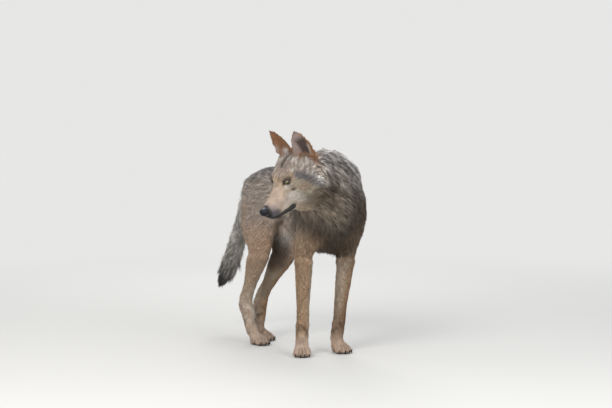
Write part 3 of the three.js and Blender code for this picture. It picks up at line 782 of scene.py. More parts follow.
# %% [markdown]
# ## The markings
#
# Skin and coat wear the same markings, so they're worked out once, at the skin's points, and stored
# there as colours. The paints are named by what a wolf keeper would call them. They're written as the
# eye reads them, then turned into linear light, which Blender works in.

# %% Paints
def paint(red, green, blue):
    """A colour as the eye reads it, turned into the linear light that Blender works in."""
    values = np.array([red, green, blue])
    return np.where(values <= 0.04045, values / 12.92, ((values + 0.055) / 1.055) ** 2.4)


WHITE = paint(0.88, 0.86, 0.84)
CREAM = paint(0.82, 0.78, 0.72)
PINK = paint(0.77, 0.70, 0.65)
BUFF = paint(0.72, 0.64, 0.55)
ASH = paint(0.73, 0.68, 0.64)
GRIZZLE = paint(0.55, 0.53, 0.52)
SLATE = paint(0.41, 0.40, 0.42)
TAN = paint(0.69, 0.58, 0.47)
FAWN = paint(0.78, 0.66, 0.56)
OCHRE = paint(0.64, 0.47, 0.33)
OLIVE = paint(0.47, 0.41, 0.34)
BROWN = paint(0.37, 0.30, 0.25)
RUSSET = paint(0.27, 0.19, 0.14)
UMBER = paint(0.28, 0.21, 0.17)
SOOT = paint(0.12, 0.10, 0.10)
PEACH = paint(0.80, 0.66, 0.55)
DOVE = paint(0.72, 0.70, 0.67)
MOUSE = paint(0.67, 0.62, 0.58)
DRAB = paint(0.71, 0.65, 0.61)
LICHEN = paint(0.64, 0.60, 0.53)
HAZEL = paint(0.63, 0.54, 0.47)
PEWTER = paint(0.52, 0.50, 0.53)
LEAD = paint(0.40, 0.38, 0.42)
BARK = paint(0.46, 0.34, 0.27)
RUST = paint(0.47, 0.32, 0.21)
MAUVE = paint(0.63, 0.57, 0.56)
BLACKISH = paint(0.22, 0.16, 0.15)
print("white and soot as linear light:", WHITE.round(3), SOOT.round(4))

# %% [markdown]
# A marking is one coat of paint laid over the last, through a soft mask. Masks are made from the
# region weights, from heights, from places on the body or the face, and from slow waves. `streak` is
# stretched up and down, for markings that break up into strands.

# %% Masks
side_x, back_y, up_z = local.T
facing_up = normals[:, 2]
trunk = on.neck + on.chest + on.loin + on.croup
height_z = skin_points[:, 2] / MM
rear_y = skin_points[:, 1] / MM
mottle = 0.5 + 0.5 * np.tanh(waves(skin_points, 34 * MM, 3))
streak = 0.5 + 0.5 * np.tanh(1.6 * waves(skin_points * [1, 1, 0.35], 13 * MM, 4))

coat = np.tile(ASH, (len(skin_points), 1))


def lay(colour, mask):
    global coat
    share = np.clip(mask, 0, 1)[:, None]
    coat = coat * (1 - share) + colour * share


def body_spot(x, y, z, size):
    """A soft round mask about a place on the body; the place and the size are in millimetres."""
    away = (skin_points / MM - [x, y, z]) / size
    return np.exp(-np.sum(away * away, axis=1))


back_half = ramp(rear_y, -230, 10)
front_half = 1 - back_half
print("share of streaks and of mottle:", round(float(streak.mean()), 2), round(float(mottle.mean()), 2))

# %% [markdown]
# The trunk is grizzled grey, darkest along the back. The front of the chest and the neck behind the
# ruff are nearly black where they lie in their own shade, the withers have white strands, and the
# fold of the flank is pale.

# %% Markings on the trunk
lay(GRIZZLE, trunk * front_half)
lay(GRIZZLE, (on.loin + on.croup) * ramp(facing_up, 0.1, 0.75) * 0.8)
lay(SLATE, (on.loin + on.croup) * ramp(facing_up, 0.5, 0.95) * 0.5)
lay(BROWN * 0.42, (on.chest + on.upper_arm) * front_half * ramp(height_z, 760, 650) * 0.9)
lay(OLIVE * 0.52, (on.chest + on.upper_arm) * front_half * ramp(height_z, 600, 520) * 0.7)
lay(WHITE, (on.neck + 0.7 * on.chest) * front_half * ramp(height_z, 700, 790) * (0.12 + 0.36 * streak))
lay(BROWN * 0.48, on.neck * ramp(height_z, 730, 640) * 0.9)
lay(CREAM, on.neck * body_spot(27, -470, 590, 55) * 0.35 * streak)
lay(RUSSET * 0.22, (on.chest + 0.9 * on.neck + 0.4 * on.upper_arm) * ramp(height_z, 640, 530)
    * ramp(rear_y, -60, -180))
# darker olive and brown on the wolf's left shoulder and neck: partly their own darker coat, partly
# painted shade on the side away from the key lamp
lay(OLIVE * 0.85, (on.chest + on.upper_arm) * body_spot(185, -420, 545, 75) * 0.8)
lay(BROWN * 0.5, (on.neck + on.chest) * body_spot(125, -480, 680, 75) * 0.7)
# darker olive where the loin faces down: partly its own darker coat, partly painted shade underneath
lay(OLIVE, on.loin * ramp(facing_up, 0.1, -0.5) * 0.5)
lay(WHITE, trunk * body_spot(122, 40, 470, 85) * 0.6)
print("mean colour of the coat:", coat.mean(axis=0).round(3))

# %% [markdown]
# The legs are tawny: ochre outside, cream inside and down the front, and pink-white on the toes. Dark
# marks cross the wrists. Painted shade darkens the gaps between the toes, the insides of the thighs
# where they face each other, and the left legs, which lie away from the key lamp: their outsides, the
# lower foreleg and the paw.

# %% Markings on the legs
lay(FAWN * 1.12, on.thigh * (0.40 + 0.55 * ramp(height_z, 590, 440)))
lay(TAN, (on.thigh + on.croup) * ramp(rear_y, 150, 230) * ramp(height_z, 660, 600) * 0.85)
lay(TAN, on.forearm + on.shank + on.fore_paw + on.hind_foot)
lay(CREAM * 0.75, (on.upper_arm + on.chest) * body_spot(-5, -290, 505, 62) * 0.95)
lay(TAN * 1.3, on.upper_arm * ramp(height_z, 590, 480)
    * np.where(skin_points[:, 0] < 60 * MM, 1.0, 0.25))
on_left = np.isin(skin_nodes, [i for i, name in enumerate(node_names) if "left" in name])
inner = ramp(normals[:, 0] * np.where(on_left, -1, 1), 0.0, 0.7)
lower_leg = on.forearm + on.shank + on.hind_foot + on.fore_paw
lay(CREAM * 0.8, lower_leg * inner * ramp(height_z, 60, 130) * 0.65)
# painted shade: the insides of the thighs are dark where they face each other
lay(UMBER * 0.7, (on.thigh + 0.7 * on.shank) * inner * on_left * ramp(height_z, 520, 470)
    * ramp(height_z, 300, 350) * 0.9)
lay(UMBER * 0.7, (on.thigh + on.loin) * body_spot(105, 98, 400, 60) * 0.6)
lay(BROWN, on.thigh * inner * ~on_left * ramp(height_z, 520, 470) * 0.7)
lay(WHITE, (on.thigh + on.loin) * body_spot(131, 71, 480, 45) * 0.7)
outer = ramp(normals[:, 0] * np.where(on_left, 1, -1), 0.0, 0.7)
# painted shade on the left legs, which lie away from the key lamp: their ochre is darker outside and
# low on the foreleg
lay(OCHRE * (0.8, 0.76, 0.68), lower_leg * outer * on_left * 0.75)
lay(OCHRE * 0.45, (on.forearm + on.fore_paw) * on_left * ramp(height_z, 260, 140)
    * ramp(height_z, 50, 95) * (0.6 + 0.3 * outer))
lay(OCHRE, lower_leg * bump(waves(skin_points, 42 * MM, 11), 0.9, 0.7) * ramp(height_z, 70, 120) * 0.25)
# the left paws get less pink: painted shade, as on the rest of the left legs
lay(PINK, (on.fore_paw + on.hind_foot) * ramp(height_z, 130, 50) * np.where(on_left, 0.55, 0.7))
lay(CREAM * 0.85, (on.shank + on.hind_foot) * ~on_left * bump(height_z, 200, 130) * 0.6)
lay(PEACH, on.thigh * ramp(-normals[:, 1], -0.2, 0.6) * ~on_left
    * ramp(height_z, 540, 420) * 0.4)
lay(WHITE, on.hind_foot * ~on_left * bump(height_z, 150, 60) * streak * 0.5)
wrist_mark = ramp(waves(skin_points, 24 * MM, 5), -0.1, 1.0)
lay(UMBER, lower_leg * bump(height_z, 118, 24) * wrist_mark * 0.7)
# painted shade in the grooves between the toes
lay(UMBER * 0.9, toe_groove * 0.85)
print("mean colour of the coat:", coat.mean(axis=0).round(3))

# %% [markdown]
# The tail is pale at its sides, grey on top and dark in its lower half, with a black tip.

# %% Markings on the tail
lay(DOVE, on.tail)
lay(WHITE, on.tail * ramp(np.abs(normals[:, 0]), 0.3, 0.8) * ramp(height_z, 380, 470) * 0.7)
lay(SLATE, on.tail * ramp(facing_up, 0.1, 0.7) * 0.5 * (1 - streak))
lay(SLATE * 0.4, on.tail * ramp(height_z, 390, 260) * (0.55 + 0.45 * streak))
lay(SOOT, on.tail * ramp(np.linalg.norm(skin_points - tail_tip, axis=1), 120 * MM, 50 * MM) * 0.8)
print("mean colour of the coat:", coat.mean(axis=0).round(3))

# %% [markdown]
# The face has the most markings: pale cheeks and lips, a buff muzzle, a grey forehead with a dark
# line down its middle, a grey band behind each eye and a brown patch below it. A dark patch lies on
# the neck, where the ruff of the cheek shades it.

# %% Markings on the head
def face_spot(side, back, up, size):
    """A soft mask about a place on both sides of the face; size is one number or three."""
    away = np.stack([np.abs(side_x) - side, back_y - back, up_z - up], axis=1) / size
    return np.exp(-np.sum(away * away, axis=1))


band_line = 11 - 2.0 * (back_y - 25)        # the temple band's middle, falling towards the ruff
above_band = up_z - band_line
lay(BUFF, face)
lay(LICHEN, on.head * ramp(np.abs(side_x), 40, 62) * ramp(up_z, 10, -10))
lay(MOUSE, on.head * ramp(above_band, -10, 25) * 0.9)
lay(DRAB, on.head * ramp(np.abs(side_x), 52, 34) * ramp(up_z, 8, 30) * 0.85)
lay(WHITE, on.head * ramp(above_band, 6, 30) * ramp(back_y, 30, 60) * ramp(streak, 0.5, 0.9) * 0.6)
TEMPLE_BAND = ((64, 20, 11), (72, 30, 2), (82, 40, -14), (90, 52, -34), (95, 64, -54), (96, 74, -74))
temple = sum(face_spot(*place, 16) for place in TEMPLE_BAND)
lay(SLATE, on.head * ramp(temple, 0.1, 1.15) * (0.8 + 0.2 * streak))
lay(HAZEL, face * face_spot(80, 18, -44, (40, 26, 18)) * 0.8)
lay(OLIVE * 0.95, on.head * ramp(back_y, 12, 52) * ramp(up_z, -62, -98) * 0.9)
lay(OLIVE, on.head * face_spot(66, 26, -116, (40, 26, 24)) * 0.7)
lay(WHITE, on.head * ramp(back_y, 50, 76) * face_spot(94, 86, -52, (34, 26, 28))
    * (0.25 + 0.5 * streak))
lay(PINK * 1.02, on.muzzle * ramp(height, 12, 34) * 0.75)
lay(CREAM, on.muzzle * ramp(height, 40, 16) * ramp(forward, 96, 74) * 0.7)
lay(PEWTER, face * face_spot(28, -128, -52, (30, 26, 16)) * 0.75)
lay(LEAD, face * ramp(forward, 74, 104) * ramp(height, 36, 20) * 0.95)
lay(WHITE, face * face_spot(40, -30, -56, (28, 24, 18)) * (0.65 + 0.35 * streak))
lay(WHITE * 0.9, face * face_spot(45, -8, -84, (28, 20, 22)) * (0.5 + 0.45 * streak))
lay(WHITE, face * face_spot(34, -50, -80, (20, 26, 12)) * 0.6)
lay(WHITE, face * face_spot(38, -29, -17, (14, 14, 9)) * 0.7)
lay(CREAM, on.head * ramp(height, 4, -14) * ramp(back_y, 20, -20) * 0.3)
lay(BARK, face * face_spot(32, -85, -71, 6) * 0.35)
stripe_middle = -3 - 0.12 * back_y + 1.5 * waves(skin_points, 14 * MM, 6)
stripe = bump(side_x, stripe_middle, 4.6)
lay(SOOT, on.head * stripe * ramp(back_y, 0, 24) * ramp(up_z, 0, 22) * 0.95)
lay(UMBER, on.head * bump(np.abs(side_x), 15, 5) * ramp(back_y, 0, 40) * ramp(up_z, 10, 30)
    * 0.35 * streak)
# painted shade: the lower jaw below the lips is dark grey, in the shadow of the muzzle
lay(SLATE * 0.35, face * ramp(forward, 40, 90) * ramp(height, 3, -4) * 0.95)
lay(SOOT * 0.9, face * face_spot(8, -148, -76, (22, 14, 16)) * 1.3)
lay(RUSSET * 0.75, (on.neck + on.head) * body_spot(12, -508, 700, 56) * (0.6 + 0.4 * streak))
print("mean colour of the coat:", coat.mean(axis=0).round(3))

# %% [markdown]
# Each eye sits in black rims that run out into its two corners, with a pale line under it, a pale spot
# over it and a brown one ahead of it. A black band runs along the mouth, widest near its corner: the
# black lips, and below them painted shadow under the upper lip.
# Where rims, lips and the edge of the nose are bare leather, `bare` is 1: no tuft grows there, and the
# skin's material turns moist.

# %% Rims of the eyes, lips and nose
bare = np.zeros(len(skin_points))
for side in SIDES:
    eye = in_eye(side, local)
    near = eye[:, 2] > -6
    rim = lid_line(eye[:, 0], eye[:, 1])
    lay(CREAM, near * bump(eye[:, 0], 3, 18) * bump(eye[:, 1], -14, 5) * 0.6)
    lay(UMBER, near * ramp(rim, 10, 2.5) * 0.6)
    inner_corner = bump(eye[:, 0], -OPENING[0] - 3.5, 6.5) * bump(eye[:, 1], -1.5, 4.2)
    outer_corner = bump(eye[:, 0], OPENING[0] + 2.5, 4.5) * bump(eye[:, 1], 0.5, 2.2)
    black = near * np.clip(ramp(rim, 4.4, 2.8) + 1.3 * inner_corner + 0.8 * outer_corner, 0, 1)
    lay(SOOT * 0.5, black)
    bare = np.maximum(bare, near * (ramp(rim, 2.2, 1.6) + ramp(inner_corner, 0.4, 0.6)))
lay(WHITE, on.head * face_spot(50, 20, 30, 8) * 0.85)
lay(UMBER * 1.15, ramp(face * face_spot(46, -13, -36, (10, 12, 9)), 0.1, 0.9) * 0.9)
# the black band along the mouth: the black lips, and below them painted shadow under the upper lip
lip_rise = 2.5 + 11 * bump(forward, 19, 19) + 6.5 * bump(forward, 60, 24)
lip_drop = 8 + 5 * bump(forward, 22, 22)
lips_and_painted_shadow = face * on_lips * ramp(height, lip_rise + 2.5, lip_rise)
lips_and_painted_shadow *= ramp(height, -lip_drop - 3, -lip_drop)
lay(SOOT * 0.45, ramp(lips_and_painted_shadow, 0.2, 0.55))
bare = np.maximum(bare, ramp(lips_and_painted_shadow, 0.45, 0.7) * ramp(height, -5.5, -3.5))
around_nose = np.linalg.norm(local - in_head(middle("nose")), axis=1)
lay(SOOT * 0.5, ramp(around_nose, 29, 24))
bare = np.maximum(bare, ramp(around_nose, 25, 22))
print("bare share of the skin:", round(float(bare.mean()), 4))

# %% [markdown]
# The ears are ochre outside. Inside they're grey and nearly bare, with a pale fringe along the outer
# edge, and deep down they turn blackish: painted shade in the hollow of the ear. The soles are black
# pads.

# %% Markings on the ears and soles
EAR_OPENS = {"left": (0.88, -0.47, 0.0), "right": (-0.97, -0.25, 0.0)}    # which way each ear opens
EAR_HALF = {"left": 72, "right": 60}    # millimetres from its middle to its outer edge
inside_ear = np.zeros(len(skin_points))
lay(OCHRE, ramp(on.ear, 0.15, 0.7))
lay(RUST, ramp(on.ear, 0.15, 0.7) * ramp(side_x, 0, -10) * 0.75)
for name, opens in EAR_OPENS.items():
    turn = SIDES[name]
    mine = ramp(on.ear, 0.2, 0.7) * (side_x * turn > 0)
    facing = np.sum((normals @ HEAD_AXES) * unit(np.array(opens)), axis=1)
    towards_rim = np.cross(unit(np.array(opens)), [0, 0, 1.0]) * -turn
    across = (local - [0, 110, 0]) @ towards_rim
    from_rim = EAR_HALF[name] - 0.0031 * (up_z - 60) ** 2 - across
    opening = mine * ramp(facing, 0.05, 0.45)
    inside = opening * ramp(from_rim, 9, 12)
    inside_ear = np.maximum(inside_ear, inside)
    lay(MAUVE, ramp(inside, 0.2, 0.7) * 0.95)
    # painted shade: blackish deep in the hollow of the ear
    lay(BLACKISH, ramp(inside, 0.3, 0.8) * ramp(from_rim, 57, 40) * ramp(up_z, 146, 112) * 0.9)
    lay(CREAM, opening * bump(from_rim, 15, 3) * ramp(up_z, 98, 80) * 0.8)
lay(UMBER, on.ear * ramp(up_z, 152, 168) * 0.5)
lay(OCHRE * 0.8, (1 - ramp(on.ear, 0.2, 0.7)) * face_spot(64, 132, 20, (26, 24, 30)) * 0.95)
lay(OCHRE * 0.85, (on.head + on.ear) * face_spot(50, 90, 54, (16, 16, 14)) * 1.1)
lay(WHITE, (on.ear + on.head) * face_spot(40, 104, 62, (12, 18, 16)) * (side_x < 0))
lay(WHITE, on.ear * face_spot(52, 78, 84, (6, 12, 22)) * (side_x < 0) * 0.8)
pads = ramp(height_z, 9, 5) * ramp(facing_up, -0.3, -0.7)
lay(SOOT * 0.6, pads)
bare = np.clip(np.maximum(bare, pads), 0, 1)
print("share of the skin inside the ears:", round(float(inside_ear.mean()), 4))

# %% [markdown]
# The last marking isn't a colour but a number: how black the tips of the hair are. A wolf's back is
# grizzled because its long hairs end in black; its belly and ears aren't.

# %% Dark tips
dark_tips = 0.5 * trunk * front_half + 0.32 * trunk * back_half
dark_tips += 0.45 * on.tail + 0.10 * on.thigh + 0.3 * on.upper_arm
dark_tips += on.head * ramp(above_band, -10, 10) * 0.4
dark_tips *= 0.55 + 0.45 * mottle
dark_tips = np.clip(dark_tips * ramp(facing_up, -0.75, 0.1), 0, 1) * (1 - on.ear)
print("markings laid", clock())

# %% [markdown]
# ## The skin as a piece
#
# The skin's colours go into its mesh as attributes, which a material can read by name. The unwrap
# lays the skin's own surface out flat; the tufts use it too, each as a tiny patch at the place of its
# root.

# %% Finish the skin
BAKE_MAP = "OFBake"


def give(mesh, name, values, kind="FLOAT"):
    """Stores one value for each point of a mesh."""
    layer = mesh.attributes.new(name, kind, "POINT")
    key = {"FLOAT": "value", "FLOAT_COLOR": "color", "FLOAT_VECTOR": "vector"}[kind]
    layer.data.foreach_set(key, np.ascontiguousarray(values, np.float32).ravel())


def with_alpha(colours, alpha):
    return np.concatenate([colours, np.asarray(alpha)[:, None]], axis=1)


skin_mesh.name = "skin"
skin = bpy.data.objects.new("skin", skin_mesh)
bpy.context.scene.collection.objects.link(skin)
skin_mesh.shade_smooth()
give(skin_mesh, "tint", with_alpha(coat, dark_tips), "FLOAT_COLOR")
give(skin_mesh, "bare", bare)
bpy.context.view_layer.objects.active = skin
skin.select_set(True)
bpy.ops.object.mode_set(mode="EDIT")
bpy.ops.mesh.select_all(action="SELECT")
bpy.ops.uv.smart_project(angle_limit=math.radians(66), island_margin=0.001)
bpy.ops.object.mode_set(mode="OBJECT")
skin_mesh.uv_layers[0].name = BAKE_MAP
print("skin faces:", len(skin_mesh.polygons))

# %% [markdown]
# ## Shared shader groups
#
# Two effects serve several materials, so each is a node group with named inputs. `hair shade` turns a
# marking's colour into a hair's: darker at the root, where hairs shade each other, paler along the
# middle, and black at the tip where the coat is grizzled. `fine grain` is a small bumpy noise.

# %% Shader groups
def feed(tree, socket, value):
    """Links a socket to another one, or gives it a plain value; a colour is written without alpha."""
    if isinstance(value, bpy.types.NodeSocket):
        tree.links.new(value, socket)
    elif socket.type == "RGBA":
        socket.default_value = (*value, 1)
    else:
        socket.default_value = value


def fill(tree, node, **inputs):
    """Feeds a node's inputs by name, with _ for a space."""
    for label, value in inputs.items():
        feed(tree, node.inputs[label.replace("_", " ")], value)
    return node


def added(tree, kind, **inputs):
    return fill(tree, tree.nodes.new("ShaderNode" + kind), **inputs)


def worked(tree, kind, operation, *values):
    """A Math or VectorMath node with its inputs fed in their order."""
    node = added(tree, kind)
    node.operation = operation
    for socket, value in zip(node.inputs, values):
        feed(tree, socket, value)
    return node


def mixed(tree, kind, share, first, second):
    """A Mix node's colour; the numbers are its sockets for the share and for two colours."""
    node = added(tree, "Mix")
    node.data_type = "RGBA"
    node.blend_type = kind
    node.clamp_factor = True
    for place, value in ((0, share), (6, first), (7, second)):
        feed(tree, node.inputs[place], value)
    return node.outputs[2]


def ranged(tree, value, low, high, to_low=0.0, to_high=1.0):
    """A Map Range node: the shader's own `ramp`."""
    node = added(tree, "MapRange", Value=value, From_Min=low, From_Max=high,
                 To_Min=to_low, To_Max=to_high)
    node.interpolation_type = "SMOOTHSTEP"
    return node.outputs["Result"]


def new_group(name, inputs, outputs):
    group = bpy.data.node_groups.new(name, "ShaderNodeTree")
    for label, kind, value in inputs:
        socket = group.interface.new_socket(label, in_out="INPUT", socket_type=kind)
        socket.default_value = value
    for label, kind in outputs:
        group.interface.new_socket(label, in_out="OUTPUT", socket_type=kind)
    return group, group.nodes.new("NodeGroupInput"), group.nodes.new("NodeGroupOutput")


HELPERS = (feed, fill, added, worked, mixed, ranged, new_group)
print("shader helpers:", [helper.__name__ for helper in HELPERS])

# %% [markdown]
# The root of a hair is darker by a share of its own colour; its tip goes over to near black by as
# much as the markings ask for there.

# %% Hair shade and fine grain
hair_shade, group_in, group_out = new_group(
    "hair shade",
    [("Tint", "NodeSocketColor", (0.5, 0.4, 0.3, 1)), ("Dark Tip", "NodeSocketFloat", 0.0),
     ("Along", "NodeSocketFloat", 0.5)],
    [("Colour", "NodeSocketColor"), ("Roughness", "NodeSocketFloat")],
)
tint, dark_tip, along = (group_in.outputs[name] for name in ("Tint", "Dark Tip", "Along"))
shaded = mixed(hair_shade, "MULTIPLY", 1.0, tint, (0.60, 0.56, 0.52))
rooted = mixed(hair_shade, "MIX", ranged(hair_shade, along, 0.0, 0.55), shaded, tint)
tip_share = worked(hair_shade, "Math", "MULTIPLY", ranged(hair_shade, along, 0.45, 0.9), dark_tip)
tipped = mixed(hair_shade, "MIX", tip_share.outputs[0], rooted, UMBER * 0.45)
fill(hair_shade, group_out, Colour=tipped, Roughness=ranged(hair_shade, along, 0.0, 1.0, 0.85, 0.62))

fine_grain, group_in, group_out = new_group(
    "fine grain",
    [("Scale", "NodeSocketFloat", 400.0), ("Depth", "NodeSocketFloat", 1.0)],
    [("Height", "NodeSocketFloat"), ("Mask", "NodeSocketFloat")],
)
place = added(fine_grain, "TexCoord").outputs["Object"]
scale, grain_depth = group_in.outputs["Scale"], group_in.outputs["Depth"]
noise = added(fine_grain, "TexNoise", Vector=place, Scale=scale, Detail=3).outputs["Fac"]
grain_height = worked(fine_grain, "Math", "MULTIPLY", noise, grain_depth)
fill(fine_grain, group_out, Height=grain_height.outputs[0], Mask=noise)
print("groups:", [group.name for group in (hair_shade, fine_grain)])

# %% [markdown]
# ## Materials for skin and hair
#
# The hair material reads the tuft's own colour, and how far along the tuft a point is. The skin's
# material reads the same colour, a little darker, and turns to smooth moist leather where the skin is
# bare: the lips, the rims of the eyes and the pads.

# %% Coat and skin materials
def new_material(name, roughness):
    material = bpy.data.materials.new(name)
    material.use_nodes = True
    shader = material.node_tree.nodes["Principled BSDF"]
    shader.inputs["Roughness"].default_value = roughness
    return material, material.node_tree, shader


def placed_group(tree, group, **inputs):
    node = tree.nodes.new("ShaderNodeGroup")
    node.node_tree = group
    return fill(tree, node, **inputs)


def attribute(tree, name):
    node = added(tree, "Attribute")
    node.attribute_name = name
    return node.outputs


coat_material, tree, shader = new_material("coat", 0.75)
tint = attribute(tree, "tint")
shade = placed_group(tree, hair_shade, Tint=tint["Color"], Dark_Tip=tint["Alpha"],
                     Along=attribute(tree, "along")["Fac"])
fill(tree, shader, Base_Color=shade.outputs["Colour"], Roughness=shade.outputs["Roughness"],
     Specular_IOR_Level=0.35)

skin_material, tree, shader = new_material("skin", 0.8)
tint, bareness = attribute(tree, "tint")["Color"], attribute(tree, "bare")["Fac"]
furred = mixed(tree, "MULTIPLY", 1.0, tint, (0.66, 0.62, 0.58))
grain = placed_group(tree, fine_grain, Scale=900.0, Depth=0.6)
bumpy = added(tree, "Bump", Strength=0.5, Distance=0.0008, Height=grain.outputs["Height"])
fill(tree, shader, Base_Color=mixed(tree, "MIX", bareness, furred, tint),
     Roughness=ranged(tree, bareness, 0, 1, 0.85, 0.42), Normal=bumpy.outputs["Normal"])
skin_mesh.materials.append(skin_material)
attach(skin, "root")
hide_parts(*FLESH)
print("materials:", coat_material.name, skin_material.name)

# %% [markdown]
# ## Planting the tufts
#
# Real fur is far too fine to model hair by hair, so each tuft stands for a small lock. Tufts are
# planted on the skin's triangles, as many to each as its area asks for, so they are evenly thick
# whatever the mesh. All are made at once as arrays, then poured into one mesh per part of the body.

# %% Where tufts grow
corners = np.empty(len(skin_mesh.loops), np.int32)
skin_mesh.loops.foreach_get("vertex_index", corners)
corners = corners.reshape(-1, 3)
flat_map = np.empty(len(skin_mesh.loops) * 2, np.float32)
skin_mesh.uv_layers[BAKE_MAP].data.foreach_get("uv", flat_map)
flat_map = flat_map.reshape(-1, 3, 2)
skin_points, skin_edges = corners_of(skin_mesh)
first, second, third = (skin_points[corners[:, i]] for i in range(3))
face_area = 0.5 * np.linalg.norm(np.cross(second - first, third - first), axis=1)


def at_corners(values):
    return values[corners].mean(axis=1)


sizes = {name: coat_size(weights, name, local) for name in SIZES}
sizes["length"] *= tail_taper(skin_points)
furry = (1 - bare) * (1 - 0.75 * ramp(inside_ear, 0.3, 0.8))
tufts_per_area = at_corners(furry / (sizes["spacing"] * MM) ** 2)
locks_per_area = at_corners(1 / (sizes["lock"] * MM) ** 2)
face_region = at_corners(weights).argmax(axis=1)


def plant(faces, per_area, numbers):
    """Random places on some of the skin's triangles, with each triangle's share by its area."""
    wanted = np.cumsum(face_area[faces] * per_area[faces]) + numbers.random()
    counts = np.diff(np.floor(np.concatenate([[0], wanted]))).astype(int)
    chosen = np.repeat(faces, counts)
    a, b = numbers.random((2, len(chosen)))
    over = a + b > 1
    a, b = np.where(over, 1 - a, a), np.where(over, 1 - b, b)
    return chosen, np.stack([1 - a - b, a, b], axis=1)


def blend_at(values, chosen, shares):
    picked = values[corners[chosen]]
    return np.einsum("ij,ij...->i...", shares, picked)


print("tufts asked for:", round(float((tufts_per_area * face_area).sum())))

# %% [markdown]
# A tuft is a thin solid blade: a triangle at the root, drawn out to a point, with a bend half way
# where the lock is long. Beyond the bend a tuft lies flatter, hangs a little, and leans towards the
# tip of its lock.

# %% The shape of a tuft
LONG = 15.0                         # millimetres: a tuft this long or longer has a bend
ROOT_DEPTH = 1.0 * MM               # how far a tuft's root is sunk in the skin
BEND_AT = 0.45                      # how far along a long tuft its bend is
BEND_PULL = 0.4                     # how much of the pull to the lock's tip comes before the bend
BEND_WIDTH = 0.85                   # how wide the blade still is there
FLATTER = 0.35                      # the slope beyond the bend, as a share of the slope at the root
BLADE = 0.45                        # a blade's thickness as a share of its width
ROOT_TRIANGLE = ((0.35, 0.0), (0.65, 0.0), (0.5, 0.06))
ROOT_ROW, BEND_ROW = 0.08, 0.5      # where a side's rows of corners lie in the tuft's patch


def tuft_points(root, normal, lie, length, width, slope, droop, pull, bent):
    """The points of many tufts: a triangle at the root, another half way if bent, and the tip."""
    sideways = np.cross(normal, lie)
    steep = np.radians(slope)[:, None]
    length = length[:, None]
    first_way = lie * np.cos(steep) + normal * np.sin(steep)
    start = root - normal * ROOT_DEPTH
    if bent:
        bend = start + first_way * length * BEND_AT + pull * BEND_PULL
        second_way = unit(lie * np.cos(FLATTER * steep) + normal * np.sin(FLATTER * steep) + droop)
        rows = [(start, 1.0), (bend, BEND_WIDTH)]
        tip = bend + second_way * length * (1 - BEND_AT) + pull * (1 - BEND_PULL)
    else:
        rows = [(start, 1.0)]
        tip = start + first_way * length + pull
    spots = []
    for centre, share in rows:
        half = 0.5 * (width * share)[:, None]
        thick = BLADE * (width * share)[:, None]
        spots += [centre - sideways * half, centre + sideways * half, centre + normal * thick]
    return np.stack(spots + [tip], axis=1)


def tuft_faces(bent):
    """A tuft's faces, and the place of each face's corners within the tuft's patch of the flat map."""
    faces, spots = [(2, 1, 0)], [ROOT_TRIANGLE]
    base, low = (3, BEND_ROW) if bent else (0, ROOT_ROW)
    for side in range(3):
        after = (side + 1) % 3
        left, right = side / 3, (side + 1) / 3
        if bent:
            faces.append((side, after, after + 3, side + 3))
            spots.append(((left, ROOT_ROW), (right, ROOT_ROW), (right, BEND_ROW), (left, BEND_ROW)))
        faces.append((side + base, after + base, base + 3))
        spots.append(((left, low), (right, low), ((left + right) / 2, 1.0)))
    return faces, spots


print("faces of a short and a long tuft:", [len(tuft_faces(bent)[0]) for bent in (False, True)])

# %% [markdown]
# Hundreds of thousands of blades are too many for Blender's usual ways of making a mesh. Its arrays
# of points, loops and faces are filled in one go instead. Each tuft gets its own small patch of the
# flat map, at the place of its root.

# %% Pour tufts into a mesh
PATCH = 0.003                       # the side of a tuft's patch


def mesh_from(name, groups):
    """One mesh from groups of like tufts, each with its points, colours and flat places."""
    points, loop_points, loop_places, starts, totals, tints, alongs = [], [], [], [], [], [], []
    point_count = loop_count = 0
    for spots, bent, tint_values, flat_places in groups:
        count, per_tuft = spots.shape[:2]
        faces, places = tuft_faces(bent)
        loops = np.concatenate([np.array(face) for face in faces])
        where = np.concatenate([np.array(spot) for spot in places]) - 0.5
        loop_points.append((loops[None] + np.arange(count)[:, None] * per_tuft + point_count).ravel())
        loop_places.append((flat_places[:, None] + where[None] * PATCH).reshape(-1, 2))
        face_sizes = np.array([len(face) for face in faces])
        face_starts = np.concatenate([[0], np.cumsum(face_sizes)[:-1]])
        starts.append((face_starts[None] + np.arange(count)[:, None] * len(loops) + loop_count).ravel())
        totals.append(np.tile(face_sizes, count))
        points.append(spots.reshape(-1, 3))
        tints.append(np.repeat(tint_values, per_tuft, axis=0))
        alongs.append(np.tile([0, 0, 0] + ([0.5, 0.5, 0.5] if bent else []) + [1.0], count))
        point_count += count * per_tuft
        loop_count += count * len(loops)
    mesh = bpy.data.meshes.new(name)
    starts = np.concatenate(starts)
    mesh.vertices.add(point_count)
    mesh.vertices.foreach_set("co", np.concatenate(points).astype(np.float32).ravel())
    mesh.loops.add(loop_count)
    mesh.loops.foreach_set("vertex_index", np.concatenate(loop_points).astype(np.int32))
    mesh.polygons.add(len(starts))
    mesh.polygons.foreach_set("loop_start", starts.astype(np.int32))
    mesh.polygons.foreach_set("loop_total", np.concatenate(totals).astype(np.int32))
    flat = mesh.uv_layers.new(name=BAKE_MAP)
    flat.data.foreach_set("uv", np.concatenate(loop_places).astype(np.float32).ravel())
    mesh.update(calc_edges=True)
    give(mesh, "tint", np.concatenate(tints), "FLOAT_COLOR")
    give(mesh, "along", np.concatenate(alongs))
    mesh.shade_smooth()
    return mesh, int((np.concatenate(totals) - 2).sum())


print("a tuft's patch covers", PATCH * PATCH, "of the flat map")

# %% [markdown]
# Fur isn't a lawn. Tufts gather into locks: every tuft leans towards its lock's tip. Locks are long
# and narrow, so a tuft joins the one it lies in line with, not simply the nearest.

